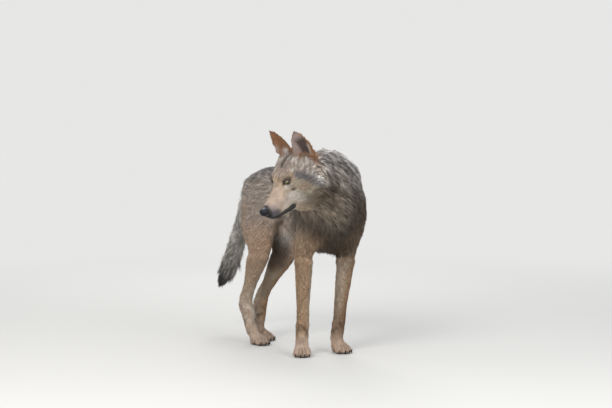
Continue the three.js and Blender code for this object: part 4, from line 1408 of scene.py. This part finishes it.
# %% Gather tufts into locks
LOCK_STRETCH = 3.0                  # how much longer than wide a lock is
LOCK_CHOICES = 10                   # how many of the nearest locks a tuft chooses from


def in_locks(root, lie, faces, numbers):
    """How many locks there are, each tuft's lock, and the way sideways from each tuft to its lock."""
    places = blend_at(skin_points, *plant(faces, locks_per_area, numbers))
    tree = KDTree(len(places))
    for i, place in enumerate(places):
        tree.insert(place, i)
    tree.balance()
    near = np.array([[found[1] for found in tree.find_n(place, LOCK_CHOICES)] for place in root])
    offset = places[near] - root[:, None]
    ahead = np.einsum("ijk,ik->ij", offset, lie)
    sideways = offset - ahead[:, :, None] * lie[:, None]
    best = (np.sum(sideways ** 2, axis=2) + (ahead / LOCK_STRETCH) ** 2).argmin(axis=1)
    rows = np.arange(len(root))
    return len(places), near[rows, best], sideways[rows, best]


print("locks asked for:", round(float((locks_per_area * face_area).sum())))

# %% [markdown]
# Each lock has its own length, turn and shade, lighter or darker than the next, and locks differ most
# on the mane. Slow waves make whole patches longer or shorter, and each tuft adds a little of its
# own. The tint holds a tuft's colour, with how dark its tip is as alpha.

# %% How locks and tufts differ
LOCK_TURN = math.radians(10)
TUFT_TURN = math.radians(6)
LOCK_LENGTH = 0.13                  # how much locks differ in length
LOCK_TIPS = (0.1, 1.7)              # how dark a lock's tips may be
TUFT_TIPS = (0.5, 1.3)              # and how much its tufts differ in that
TUFT_SHADE = 0.35                   # how much the tufts of one lock differ in shade
SHADES = (0.35, 1.9)                # the darkest and the lightest a tuft may get
MANE = (640 * MM, 800 * MM)         # between these heights the locks come to differ most
patches = waves(skin_points, 30 * MM, 8)
streaks = waves(skin_points * [1, 1, 0.6], 9 * MM, 9)


def tuft_tints(chosen, shares, contrast, lock_shade, lock_dark, numbers):
    """Each tuft's tint, from the colour of its place and the shade of its lock."""
    count = len(chosen)
    shade = 0.9 * lock_shade + 0.2 * blend_at(streaks, chosen, shares)
    shade += numbers.normal(0, TUFT_SHADE, count)
    mane = ramp(blend_at(skin_points, chosen, shares)[:, 2], *MANE)
    bright = np.clip(1 + contrast * (0.5 + 0.5 * mane) * shade, *SHADES)
    tint_values = blend_at(coat, chosen, shares) * bright[:, None]
    dark = blend_at(dark_tips, chosen, shares) * lock_dark * numbers.uniform(*TUFT_TIPS, count)
    return with_alpha(np.clip(tint_values, 0, 1), np.clip(dark, 0, 1))


print("patches from", patches.min().round(2), "to", patches.max().round(2),
      "and streaks from", streaks.min().round(2), "to", streaks.max().round(2))

# %% [markdown]
# One piece of the coat is grown in this order: tufts are planted on its faces, gathered in locks,
# given their length, slope and width, bent by their own weight, tinted, and poured into one mesh.
# Short tufts stay straight, which saves triangles.

# %% Grow one piece
TUFT_LENGTH, TUFT_SLOPE, TUFT_WIDTH = (0.75, 1.1), (0.6, 1.3), (0.75, 1.25)
PATCH_LENGTH, PATCH_SLOPE = 0.10, 0.15
GATHER = 0.62                       # how far a long tuft's tip goes towards the middle line of its lock
GATHERED = (10, 28)                 # between these lengths, in millimetres, tufts begin to gather
DROOP = 0.55
DROOPING = 60                       # a tuft this long, in millimetres, droops in full
GRAVITY = np.array([0, 0, -1.0])
FLOOR_GAP = 0.5 * MM                # hair and claws stay this far above the floor


def grow(name, regions, seed):
    numbers = np.random.default_rng(seed)
    faces = np.nonzero(np.isin(face_region, [ORDER.index(region) for region in regions]))[0]
    chosen, shares = plant(faces, tufts_per_area, numbers)
    count = len(chosen)
    pick = {key: blend_at(values, chosen, shares) for key, values in sizes.items()}
    root = blend_at(skin_points, chosen, shares)
    normal = unit(blend_at(normals, chosen, shares))
    lie = along_skin(blend_at(flow, chosen, shares), normal)
    lock_count, lock, to_lock = in_locks(root, lie, faces, numbers)
    lock_turn = numbers.normal(0, LOCK_TURN, lock_count)[lock]
    lock_shade = numbers.normal(0, 1, lock_count)[lock]
    lock_dark = numbers.uniform(*LOCK_TIPS, lock_count)[lock]
    lock_length = numbers.normal(1, LOCK_LENGTH, lock_count)[lock]
    lie = turned(lie, normal, lock_turn + numbers.normal(0, TUFT_TURN, count))
    patch = blend_at(patches, chosen, shares)
    length = pick["length"] * (1 + PATCH_LENGTH * patch) * lock_length
    length *= numbers.uniform(*TUFT_LENGTH, count)
    slope = pick["slope"] * (1 + PATCH_SLOPE * patch) * numbers.uniform(*TUFT_SLOPE, count)
    width = pick["width"] * numbers.uniform(*TUFT_WIDTH, count)
    hang = DROOP * np.clip(length / DROOPING, 0, 1)[:, None] * GRAVITY
    pull = GATHER * ramp(pick["length"], *GATHERED)[:, None] * to_lock
    tint_values = tuft_tints(chosen, shares, pick["contrast"], lock_shade, lock_dark, numbers)
    flat_places = np.einsum("ij,ijk->ik", shares, flat_map[chosen])
    groups = []
    for bent in (False, True):
        mine = (length >= LONG) == bent
        if mine.any():
            spots = tuft_points(root[mine], normal[mine], lie[mine], length[mine] * MM,
                                width[mine] * MM, slope[mine], hang[mine], pull[mine], bent)
            spots[:, :, 2] = np.maximum(spots[:, :, 2], FLOOR_GAP)
            groups.append((spots, bent, tint_values[mine], flat_places[mine]))
    mesh, triangles = mesh_from(name, groups)
    mesh.materials.append(coat_material)
    piece = bpy.data.objects.new(name, mesh)
    bpy.context.scene.collection.objects.link(piece)
    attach(piece, "root")
    print(name, count, "tufts", lock_count, "locks", triangles, "triangles")
    return triangles


print("tufts of", LONG, "millimetres and more are bent")

# %% [markdown]
# The coat is twelve pieces, each of one or two regions and each light enough to be handled alone. A
# piece has a seed of its own, so a change to one leaves the others as they are.

# %% Grow the coat
COAT = {
    "coat_face": ("muzzle",),
    "coat_head": ("head",),
    "coat_ears": ("ear",),
    "coat_neck": ("neck",),
    "coat_chest": ("chest",),
    "coat_loin": ("loin",),
    "coat_croup": ("croup",),
    "coat_tail": ("tail",),
    "coat_shoulders": ("upper_arm",),
    "coat_forelegs": ("forearm", "fore_paw"),
    "coat_thighs": ("thigh",),
    "coat_hind_legs": ("shank", "hind_foot"),
}
total_triangles = 0
for seed, (name, regions) in enumerate(COAT.items(), start=20):
    total_triangles += grow(name, regions, seed)
print("coat triangles:", total_triangles, clock())

# %% [markdown]
# ## The eyes
#
# A wolf's eye is an amber iris round a black pupil, edged with a dark ring, under a clear wet dome.
# The ball is a fine sphere with the dome as a slight swelling over the iris. Eyes and nose are both
# round and closed, so one helper turns a radius into such a surface.

# %% A round surface
def revolved(radius_of, rings, sides):
    """A closed surface round the Z axis, from its radius at each angle down from the pole."""
    points, faces = [], []
    for i in range(1, rings):
        angle = math.pi * i / rings
        radius = radius_of(angle)
        for j in range(sides):
            turn = 2 * math.pi * j / sides
            points.append((radius * math.sin(angle) * math.cos(turn),
                           radius * math.sin(angle) * math.sin(turn), radius * math.cos(angle)))
    for i in range(rings - 2):
        for j in range(sides):
            k = (j + 1) % sides
            faces.append((i * sides + j, (i + 1) * sides + j, (i + 1) * sides + k, i * sides + k))
    top, bottom = len(points), len(points) + 1
    points += [(0, 0, radius_of(0)), (0, 0, -radius_of(math.pi))]
    last = (rings - 2) * sides
    for j in range(sides):
        k = (j + 1) % sides
        faces.append((top, j, k))
        faces.append((bottom, last + k, last + j))
    return np.array(points), faces


print("points of a coarse ball:", len(revolved(lambda angle: 1.0, 8, 12)[0]))

# %% [markdown]
# Each point keeps its own place in the eye as an attribute, in millimetres, so that the iris can be
# painted by its distance from the line of sight, in rings. Fine spokes run through it. A clear coat
# gives the wet shine.

# %% The eye's material
IRIS = 8.0
PUPIL = 3.9
PALE_AMBER = paint(0.66, 0.59, 0.34)
AMBER = paint(0.56, 0.49, 0.28)
HONEY = paint(0.34, 0.27, 0.15)
RING = paint(0.14, 0.09, 0.05)
EYE_WHITE = paint(0.34, 0.26, 0.22)

eye_material, tree, shader = new_material("eye", 0.12)
place = added(tree, "SeparateXYZ", Vector=attribute(tree, "eye_place")["Vector"]).outputs
flat_place = added(tree, "CombineXYZ", X=place["X"], Y=place["Y"]).outputs[0]
distance = worked(tree, "VectorMath", "LENGTH", flat_place).outputs["Value"]
around = worked(tree, "VectorMath", "NORMALIZE", flat_place).outputs["Vector"]
spokes = added(tree, "TexNoise", Vector=around, Scale=5.0, Detail=4).outputs["Fac"]


def rings(inner, outer, start, end):
    """One colour within the first distance from the line of sight, another beyond the second."""
    return mixed(tree, "MIX", ranged(tree, distance, start, end), inner, outer)


iris = mixed(tree, "MIX", ranged(tree, spokes, 0.35, 0.65), HONEY, AMBER)
iris = rings(PALE_AMBER, iris, 3.4, 5.6)
iris = rings(iris, RING, IRIS - 1.6, IRIS - 0.3)
eye_colour = rings(SOOT * 0.15, iris, PUPIL - 0.2, PUPIL + 0.25)
eye_colour = rings(eye_colour, EYE_WHITE, IRIS - 0.1, IRIS + 0.5)
fill(tree, shader, Base_Color=eye_colour, Coat_Weight=1.0, Coat_Roughness=0.03)
print("iris and pupil across, mm:", 2 * IRIS, 2 * PUPIL)

# %% [markdown]
# Each ball is turned so that the dome looks out of the opening between its lids, outwards and a
# little ahead.

# %% Eyeballs
DOME = 0.9                          # how far the dome swells, in millimetres
DOME_WIDTH = 0.52                   # and how wide it is, in radians round the ball
BALL_GAP = 0.15                     # between the ball and the inside of the lids
GAZE = (0.76, -0.64, -0.10)         # the way the left eye looks, in the head's frame


def eye_radius(angle):
    return BALL_RADIUS - BALL_GAP + DOME * math.exp(-((angle / DOME_WIDTH) ** 2))


for side, turn in SIDES.items():
    gaze = Vector(HEAD_AXES @ unit(mirrored(GAZE, turn)))
    points, faces = revolved(eye_radius, 40, 48)
    eyeball = mesh_object(f"eyeball_{side}", points * MM, faces)
    give(eyeball.data, "eye_place", points, "FLOAT_VECTOR")
    eyeball.data.transform(gaze.to_track_quat("Z", "Y").to_matrix().to_4x4())
    eyeball.location = eye_places[side]
    eyeball.data.shade_smooth()
    eyeball.data.materials.append(eye_material)
    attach(eyeball, "root")
    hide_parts(f"eye_{side}")
print("eyes at", [in_head(eye_places[side]).round(1).tolist() for side in eye_places])

# %% [markdown]
# ## The nose
#
# The nose pad is black, moist and finely pebbled, with two comma-shaped nostrils and a groove down
# its middle. It is a rounded box whose surface is pushed in where the nostrils are.

# %% Nose pad
NOSE_HALF = (20.0, 17.5, 15.0)      # half its width, length and height
NOSE_POWER = 2.5                    # 2 would be an egg; more is squarer
NOSE_NOD = math.radians(8)
HOLE_DEPTH = 5.2
SLIT_DEPTH = 2.4                    # the nostril's tail, which runs out to the side
SLIT_PINCH = 1.6
WING_RISE = 0.9                     # the raised edge round the nostril
CLEFT_DEPTH = 1.3
TOP_DIP = 1.2                       # a shallow dip in the middle of its upper edge


def nose_surface():
    points, faces = revolved(lambda angle: 1.0, 56, 72)
    way = unit(points)
    x, y, z = way[:, 0], -way[:, 2], way[:, 1]
    size = sum((np.abs(value) / half) ** NOSE_POWER for value, half in zip((x, y, z), NOSE_HALF))
    points = np.stack([x, y, z], axis=1) * (size ** (-1 / NOSE_POWER))[:, None]
    px, py, pz = points.T
    ahead = ramp(-py, 1, 8)
    wide = np.abs(px)
    hole = bump(wide, 9.4, 3.3) * bump(pz, -0.5, 3.6) * ahead
    slit = bump(pz, -3.6 + 0.12 * (wide - 10), 1.4) * ramp(wide, 9, 13) * ramp(-py, -8, 2)
    wing = bump(np.hypot(wide - 9.8, pz + 0.4), 6.4, 1.6) * ahead
    groove = bump(px, 0, 0.9) * ramp(pz, 4, -2) * ahead
    sunk = HOLE_DEPTH * hole + SLIT_DEPTH * slit - WING_RISE * wing + CLEFT_DEPTH * groove
    points[:, 1] += sunk * ahead
    points[:, 0] -= slit * SLIT_PINCH * np.sign(px)
    points[:, 2] -= TOP_DIP * bump(px, 0, 5) * ramp(pz, 4, 12)
    return points, faces, np.clip(hole + slit + 0.5 * groove, 0, 1)


points, faces, hollow = nose_surface()
nod = Matrix.Rotation(NOSE_NOD, 3, "X")
nose_local = points @ np.array(nod).T + in_head(middle("nose"))
nose_pad = mesh_object("nose_pad", from_head(nose_local), [tuple(reversed(face)) for face in faces])
give(nose_pad.data, "hollow", hollow)
nose_pad.data.shade_smooth()
print("nose pad points:", len(points))

# %% [markdown]
# The pebbles are bump, from a cell pattern about a millimetre across. The upper side of the nose is
# painted paler and bluish grey, a painted reflection of the sky above it, and the nostrils are painted
# darkest, as painted shade in their hollows.

# %% The nose's material
NOSE_BLACK = paint(0.02, 0.02, 0.04)
NOSE_GREY = paint(0.07, 0.08, 0.12)
# a painted reflection of the sky, laid where the nose faces up
PAINTED_SHEEN = paint(0.22, 0.235, 0.275)
PEBBLES = 750                       # cells to a metre

nose_material, tree, shader = new_material("nose", 0.4)
texture_place = added(tree, "TexCoord").outputs["Object"]
cells = added(tree, "TexVoronoi", Vector=texture_place, Scale=PEBBLES)
grain = placed_group(tree, fine_grain, Scale=260.0, Depth=1.0).outputs["Mask"]
upward = added(tree, "SeparateXYZ", Vector=added(tree, "NewGeometry").outputs["Normal"]).outputs["Z"]
nose_colour = mixed(tree, "MIX", ranged(tree, grain, 0.3, 0.7), NOSE_BLACK, NOSE_GREY)
nose_colour = mixed(tree, "MIX", ranged(tree, upward, 0.45, 1.0), nose_colour, PAINTED_SHEEN)
# painted shade: the nostrils' hollows turn near black
nose_colour = mixed(tree, "MIX", attribute(tree, "hollow")["Fac"], nose_colour, SOOT * 0.2)
pebbles = added(tree, "Bump", Strength=0.55, Distance=0.0006, Height=cells.outputs["Distance"])
pebbles.invert = True
fill(tree, shader, Base_Color=nose_colour, Roughness=ranged(tree, grain, 0.3, 0.7, 0.30, 0.44),
     Specular_IOR_Level=0.25, Normal=pebbles.outputs["Normal"])
nose_pad.data.materials.append(nose_material)
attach(nose_pad, "root")
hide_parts("nose")
print("pebbles across, mm:", round(1 / (PEBBLES * MM), 2))

# %% [markdown]
# ## Claws
#
# A wolf's claws don't draw in, so they're always there at the toes: dark horn, curved and blunt. The
# solid claw says where each one is and which way it points; the finished one is a bent, flattened
# cone with a rounded end. The horn pales towards that end, where walking wears it.

# %% The claws' horn
HORN_DARK = paint(0.13, 0.10, 0.09)
HORN = paint(0.24, 0.19, 0.16)
HORN_TIP = paint(0.36, 0.30, 0.25)

claw_material, tree, shader = new_material("claw", 0.38)
grain = placed_group(tree, fine_grain, Scale=500.0, Depth=1.0).outputs["Mask"]
horn = mixed(tree, "MIX", ranged(tree, grain, 0.35, 0.7), HORN_DARK, HORN)
to_tip = ranged(tree, attribute(tree, "along")["Fac"], 0.7, 1.0)
fill(tree, shader, Base_Color=mixed(tree, "MIX", to_tip, horn, HORN_TIP),
     Roughness=ranged(tree, grain, 0.3, 0.7, 0.3, 0.48))
claws = [node for node in APART if "_claw_" in node]
print("claws to make:", len(claws))

# %% [markdown]
# The tip of a solid claw is the point farthest from the middle of all its points, and its root is the
# end away from that. Rings of points are set from root to tip along an arch, each a little smaller
# than the last.

# %% Claws
CLAW_RINGS, CLAW_SIDES = 12, 14
CLAW_FULL, CLAW_LONG = 1.05, 0.98   # its thickness and length against the solid one's
CLAW_BEND, CLAW_LIFT = 0.16, 0.6    # the arch as a share of the length, and how much of it is used
CLAW_WIDE, CLAW_HIGH = 0.86, 1.15   # how much narrower and higher than round it is
CLAW_POINT = 1.7                    # how late it narrows towards its end
CLAW_BLUNT = 0.012                  # how much of its section is left at the very end
ROOT_SHARE = 0.6                    # the solid claw's root is farther than this share from its tip


def claw_piece(node):
    """A curved claw along the solid one's axis."""
    solid = np.array([v.co for v in frame["nodes"][node].data.vertices])
    centre = solid.mean(axis=0)
    tip = solid[np.linalg.norm(solid - centre, axis=1).argmax()]
    away = np.linalg.norm(solid - tip, axis=1)
    far = solid[away > ROOT_SHARE * away.max()]
    root = far.mean(axis=0)
    axis = tip - root
    length = np.linalg.norm(axis)
    ahead = unit(axis)
    sideways = unit(np.cross(ahead, [0, 0, 1.0]))
    upward = np.cross(sideways, ahead)
    half = np.abs((far - root) @ sideways).max()
    points, alongs = [], []
    for i in range(CLAW_RINGS):
        share = i / (CLAW_RINGS - 1)
        size = half * CLAW_FULL * math.sqrt(max(1 - share ** CLAW_POINT, CLAW_BLUNT))
        arch = CLAW_BEND * length * math.sin(math.pi * share)
        middle_point = root + axis * share * CLAW_LONG + upward * arch * CLAW_LIFT
        for j in range(CLAW_SIDES):
            turn = 2 * math.pi * j / CLAW_SIDES
            points.append(middle_point + sideways * math.cos(turn) * size * CLAW_WIDE
                          + upward * math.sin(turn) * size * CLAW_HIGH)
            alongs.append(share)
    faces = [tuple(range(CLAW_SIDES)), tuple(reversed(range(len(points) - CLAW_SIDES, len(points))))]
    for i in range(CLAW_RINGS - 1):
        for j in range(CLAW_SIDES):
            k = (j + 1) % CLAW_SIDES
            faces.append((i * CLAW_SIDES + k, i * CLAW_SIDES + j,
                          (i + 1) * CLAW_SIDES + j, (i + 1) * CLAW_SIDES + k))
    points = np.array(points)
    points[:, 2] = np.maximum(points[:, 2], FLOOR_GAP)
    piece = mesh_object("finished_" + node, points, faces)
    give(piece.data, "along", np.array(alongs))
    piece.data.shade_smooth()
    piece.data.materials.append(claw_material)
    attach(piece, "root")
    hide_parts(node)


for node in claws:
    claw_piece(node)
print("claws:", len(claws), clock())

# %% [markdown]
# ## Whiskers
#
# Long stiff hairs stand in rows on the whisker pads and over the eyes. Each is a very thin tapered
# tube that bends back and down a little.

# %% The shape of a whisker
WHISKER_WIDTH = 0.7 * MM
WHISKER_STAGES = 6


def whisker(root, way, length, bend):
    """A tapered three-sided tube from a root along a bending way."""
    way = unit(way)
    sideways = unit(np.cross(way, [0, 0, 1.0]))
    upward = np.cross(sideways, way)
    points, faces = [], []
    for i in range(WHISKER_STAGES):
        share = i / WHISKER_STAGES
        centre = root + way * length * share + bend * length * share * share
        half = 0.5 * WHISKER_WIDTH * (1 - share)
        for j in range(3):
            turn = 2 * math.pi * j / 3
            points.append(centre + sideways * math.cos(turn) * half + upward * math.sin(turn) * half)
    points.append(root + way * length + bend * length)
    tip = len(points) - 1
    faces.append((0, 1, 2))
    for i in range(WHISKER_STAGES - 1):
        for j in range(3):
            k = (j + 1) % 3
            faces.append((3 * i + k, 3 * i + j, 3 * i + 3 + j, 3 * i + 3 + k))
    faces += [(3 * WHISKER_STAGES - 3 + (j + 1) % 3, 3 * WHISKER_STAGES - 3 + j, tip) for j in range(3)]
    return points, faces


print("points of a whisker:", 3 * WHISKER_STAGES + 1)

# %% [markdown]
# Where a whisker grows is stated in the head's frame, and a ray sent in from the side finds the skin
# there. On each pad three rows of four rise towards the nose, and three more stand over each eye.

# %% Whiskers
WHISKER_BEND = (0, 0.28, -0.20)     # how far its tip bends back and down, as shares of its length
WHISKER_LENGTH = (0.7, 1.15)        # between these shares of their row's length
PAD_LENGTH, BROW_LENGTH = 46, 30    # in millimetres
PAD_ROWS = (8, 13, 18)              # millimetres above the lips
PAD_PLACES = (88, 98, 108, 118)     # millimetres ahead of the corner of the mouth
PAD_SLOPE = 0.21                    # how the rows rise towards the nose
surface = BVHTree.FromPolygons([Vector(p) for p in skin_points], corners.tolist())


def whisker_places():
    """Each whisker's place, the side it's looked for from, its way and its length."""
    for turn in (-1, 1):
        for high in PAD_ROWS:
            for ahead in PAD_PLACES:
                place = (0.0, LIP_CORNER[1] - ahead, LIP_CORNER[2] + PAD_SLOPE * ahead + high)
                yield place, (turn, 0, 0), (turn, 0.45, -0.12), PAD_LENGTH
    for turn in (-1, 1):
        for i in range(3):
            way = (turn * 0.35, -0.55, 0.8)
            yield (turn * (24 + 5 * i), -6.0, 12.0), way, way, BROW_LENGTH


def grow_whiskers():
    numbers = np.random.default_rng(61)
    bend = HEAD_AXES @ np.array(WHISKER_BEND)
    points, faces = [], []
    for place, side, way, length in whisker_places():
        start, aim = from_head(place), HEAD_AXES @ unit(np.array(side))
        hit = surface.ray_cast(Vector(start + aim * 0.1), Vector(-aim))[0]
        if hit is None:
            continue
        toward = unit(HEAD_AXES @ unit(np.array(way)) + numbers.normal(0, 0.10, 3))
        reach = length * MM * numbers.uniform(*WHISKER_LENGTH)
        more, more_faces = whisker(np.array(hit), toward, reach, bend)
        faces += [tuple(i + len(points) for i in face) for face in more_faces]
        points += more
    return points, faces


points, faces = grow_whiskers()
whiskers = mesh_object("whiskers", np.array(points), faces)
whisker_material, tree, shader = new_material("whisker", 0.45)
grain = placed_group(tree, fine_grain, Scale=120.0, Depth=1.0).outputs["Mask"]
fill(tree, shader, Base_Color=mixed(tree, "MIX", ranged(tree, grain, 0.4, 0.6), SOOT * 0.6, UMBER))
whiskers.data.materials.append(whisker_material)
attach(whiskers, "root")
print("whisker faces:", len(faces))

# %% [markdown]
# ## Floor, light and camera
#
# The stage is a plain pale floor in a pale room. The room's own light is plain and falls from all
# sides; only what the camera sees behind the wolf is made paler.

# %% The room
ROOM = (0.80, 0.80, 0.79)
ROOM_LIGHT = 0.75


def seen_share(tree):
    """1 for rays that see the room directly, in a reflection or through something clear."""
    path = added(tree, "LightPath").outputs
    total = worked(tree, "Math", "MAXIMUM", path["Is Camera Ray"], path["Is Glossy Ray"]).outputs[0]
    return worked(tree, "Math", "MAXIMUM", total, path["Is Transmission Ray"]).outputs[0]


def show(tree, share, usual, seen, output):
    """Shows one shader as usual and another by a share."""
    choice = added(tree, "MixShader")
    for socket, value in zip(choice.inputs, (share, usual.outputs[0], seen.outputs[0])):
        feed(tree, socket, value)
    feed(tree, tree.nodes[output].inputs["Surface"], choice.outputs[0])


world = bpy.data.worlds.new("room")
bpy.context.scene.world = world
world.use_nodes = True
tree = world.node_tree
background = fill(tree, tree.nodes["Background"], Color=(0.94, 0.97, 1.0), Strength=ROOM_LIGHT)
shown = added(tree, "Background", Color=ROOM, Strength=1.0)
show(tree, seen_share(tree), background, shown, "World Output")
print("the room's light:", ROOM_LIGHT)

# %% [markdown]
# The floor is a wide disc. Far out it glows in the room's own colour, so that no horizon shows; near
# the wolf it is a plain surface that takes the shadow.

# %% Floor
FLOOR_RADIUS = 60.0
FLOOR_SIDES = 96
FLOOR_FADE = (1.5, 4.5)             # from how far to how far out the floor turns into the room

turns = [2 * math.pi * i / FLOOR_SIDES for i in range(FLOOR_SIDES)]
rim_points = [(FLOOR_RADIUS * math.cos(turn), FLOOR_RADIUS * math.sin(turn), 0) for turn in turns]
floor = mesh_object("floor", rim_points, [tuple(range(FLOOR_SIDES))])
floor_material, tree, shader = new_material("floor", 0.9)
fill(tree, shader, Base_Color=(0.60, 0.59, 0.57), Specular_IOR_Level=0.1)
place = added(tree, "TexCoord").outputs["Object"]
far = ranged(tree, worked(tree, "VectorMath", "LENGTH", place).outputs["Value"], *FLOOR_FADE)
faded = worked(tree, "Math", "MULTIPLY", far, seen_share(tree)).outputs[0]
show(tree, faded, shader, added(tree, "Emission", Color=ROOM, Strength=1.0), "Material Output")
floor.data.materials.append(floor_material)
floor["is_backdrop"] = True
print("floor across, m:", 2 * FLOOR_RADIUS)

# %% [markdown]
# A large soft lamp from above, on the wolf's right, does most of the work. A weaker one from the
# front fills the shadows, and a third from behind separates the coat from the background.

# %% Lamps
AIM = (0.0, -0.1, 0.55)
LAMPS = {                           # place, width, power and colour
    "key": ((-3.3, -2.3, 3.2), 2.6, 150, (1.0, 0.98, 0.95)),
    "fill": ((0.6, -4.2, 1.9), 2.6, 80, (0.96, 0.98, 1.0)),
    "rim": ((1.6, 3.2, 3.0), 2.0, 70, (1, 1, 1)),
}
for name, (place, size, power, colour) in LAMPS.items():
    light = bpy.data.lights.new(name, "AREA")
    light.shape = "DISK"
    light.size = size
    light.energy = power
    light.color = colour
    lamp = bpy.data.objects.new(name, light)
    lamp.location = place
    lamp.rotation_euler = (Vector(AIM) - Vector(place)).to_track_quat("-Z", "Y").to_euler()
    bpy.context.scene.collection.objects.link(lamp)
print("lamps:", list(LAMPS))

# %% [markdown]
# The camera stands well back at head height and looks slightly down, through a long lens, at a wolf
# that faces it and looks away.

# %% Camera
CAMERA_PLACE = (-3.5018, -6.3926, 1.10)
CAMERA_AZIMUTH = math.radians(-30)
CAMERA_DROP = math.radians(3.75)
LENS = 98.8

camera_data = bpy.data.cameras.new("camera")
camera_data.lens = LENS
camera = bpy.data.objects.new("camera", camera_data)
camera.location = CAMERA_PLACE
camera.rotation_euler = (math.pi / 2 - CAMERA_DROP, 0, CAMERA_AZIMUTH)
bpy.context.scene.collection.objects.link(camera)
bpy.context.scene.camera = camera
bpy.context.scene.view_settings.view_transform = "Standard"
print("camera:", LENS, "mm lens at", CAMERA_PLACE)

# %% [markdown]
# ## The finished size
#
# The finished wolf has to fit the solids' outline, so the box round it is printed.

# %% Sizes and finish
low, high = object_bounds()
print("visual box, mm:", [round(float(v) / MM) for v in high - low], clock())
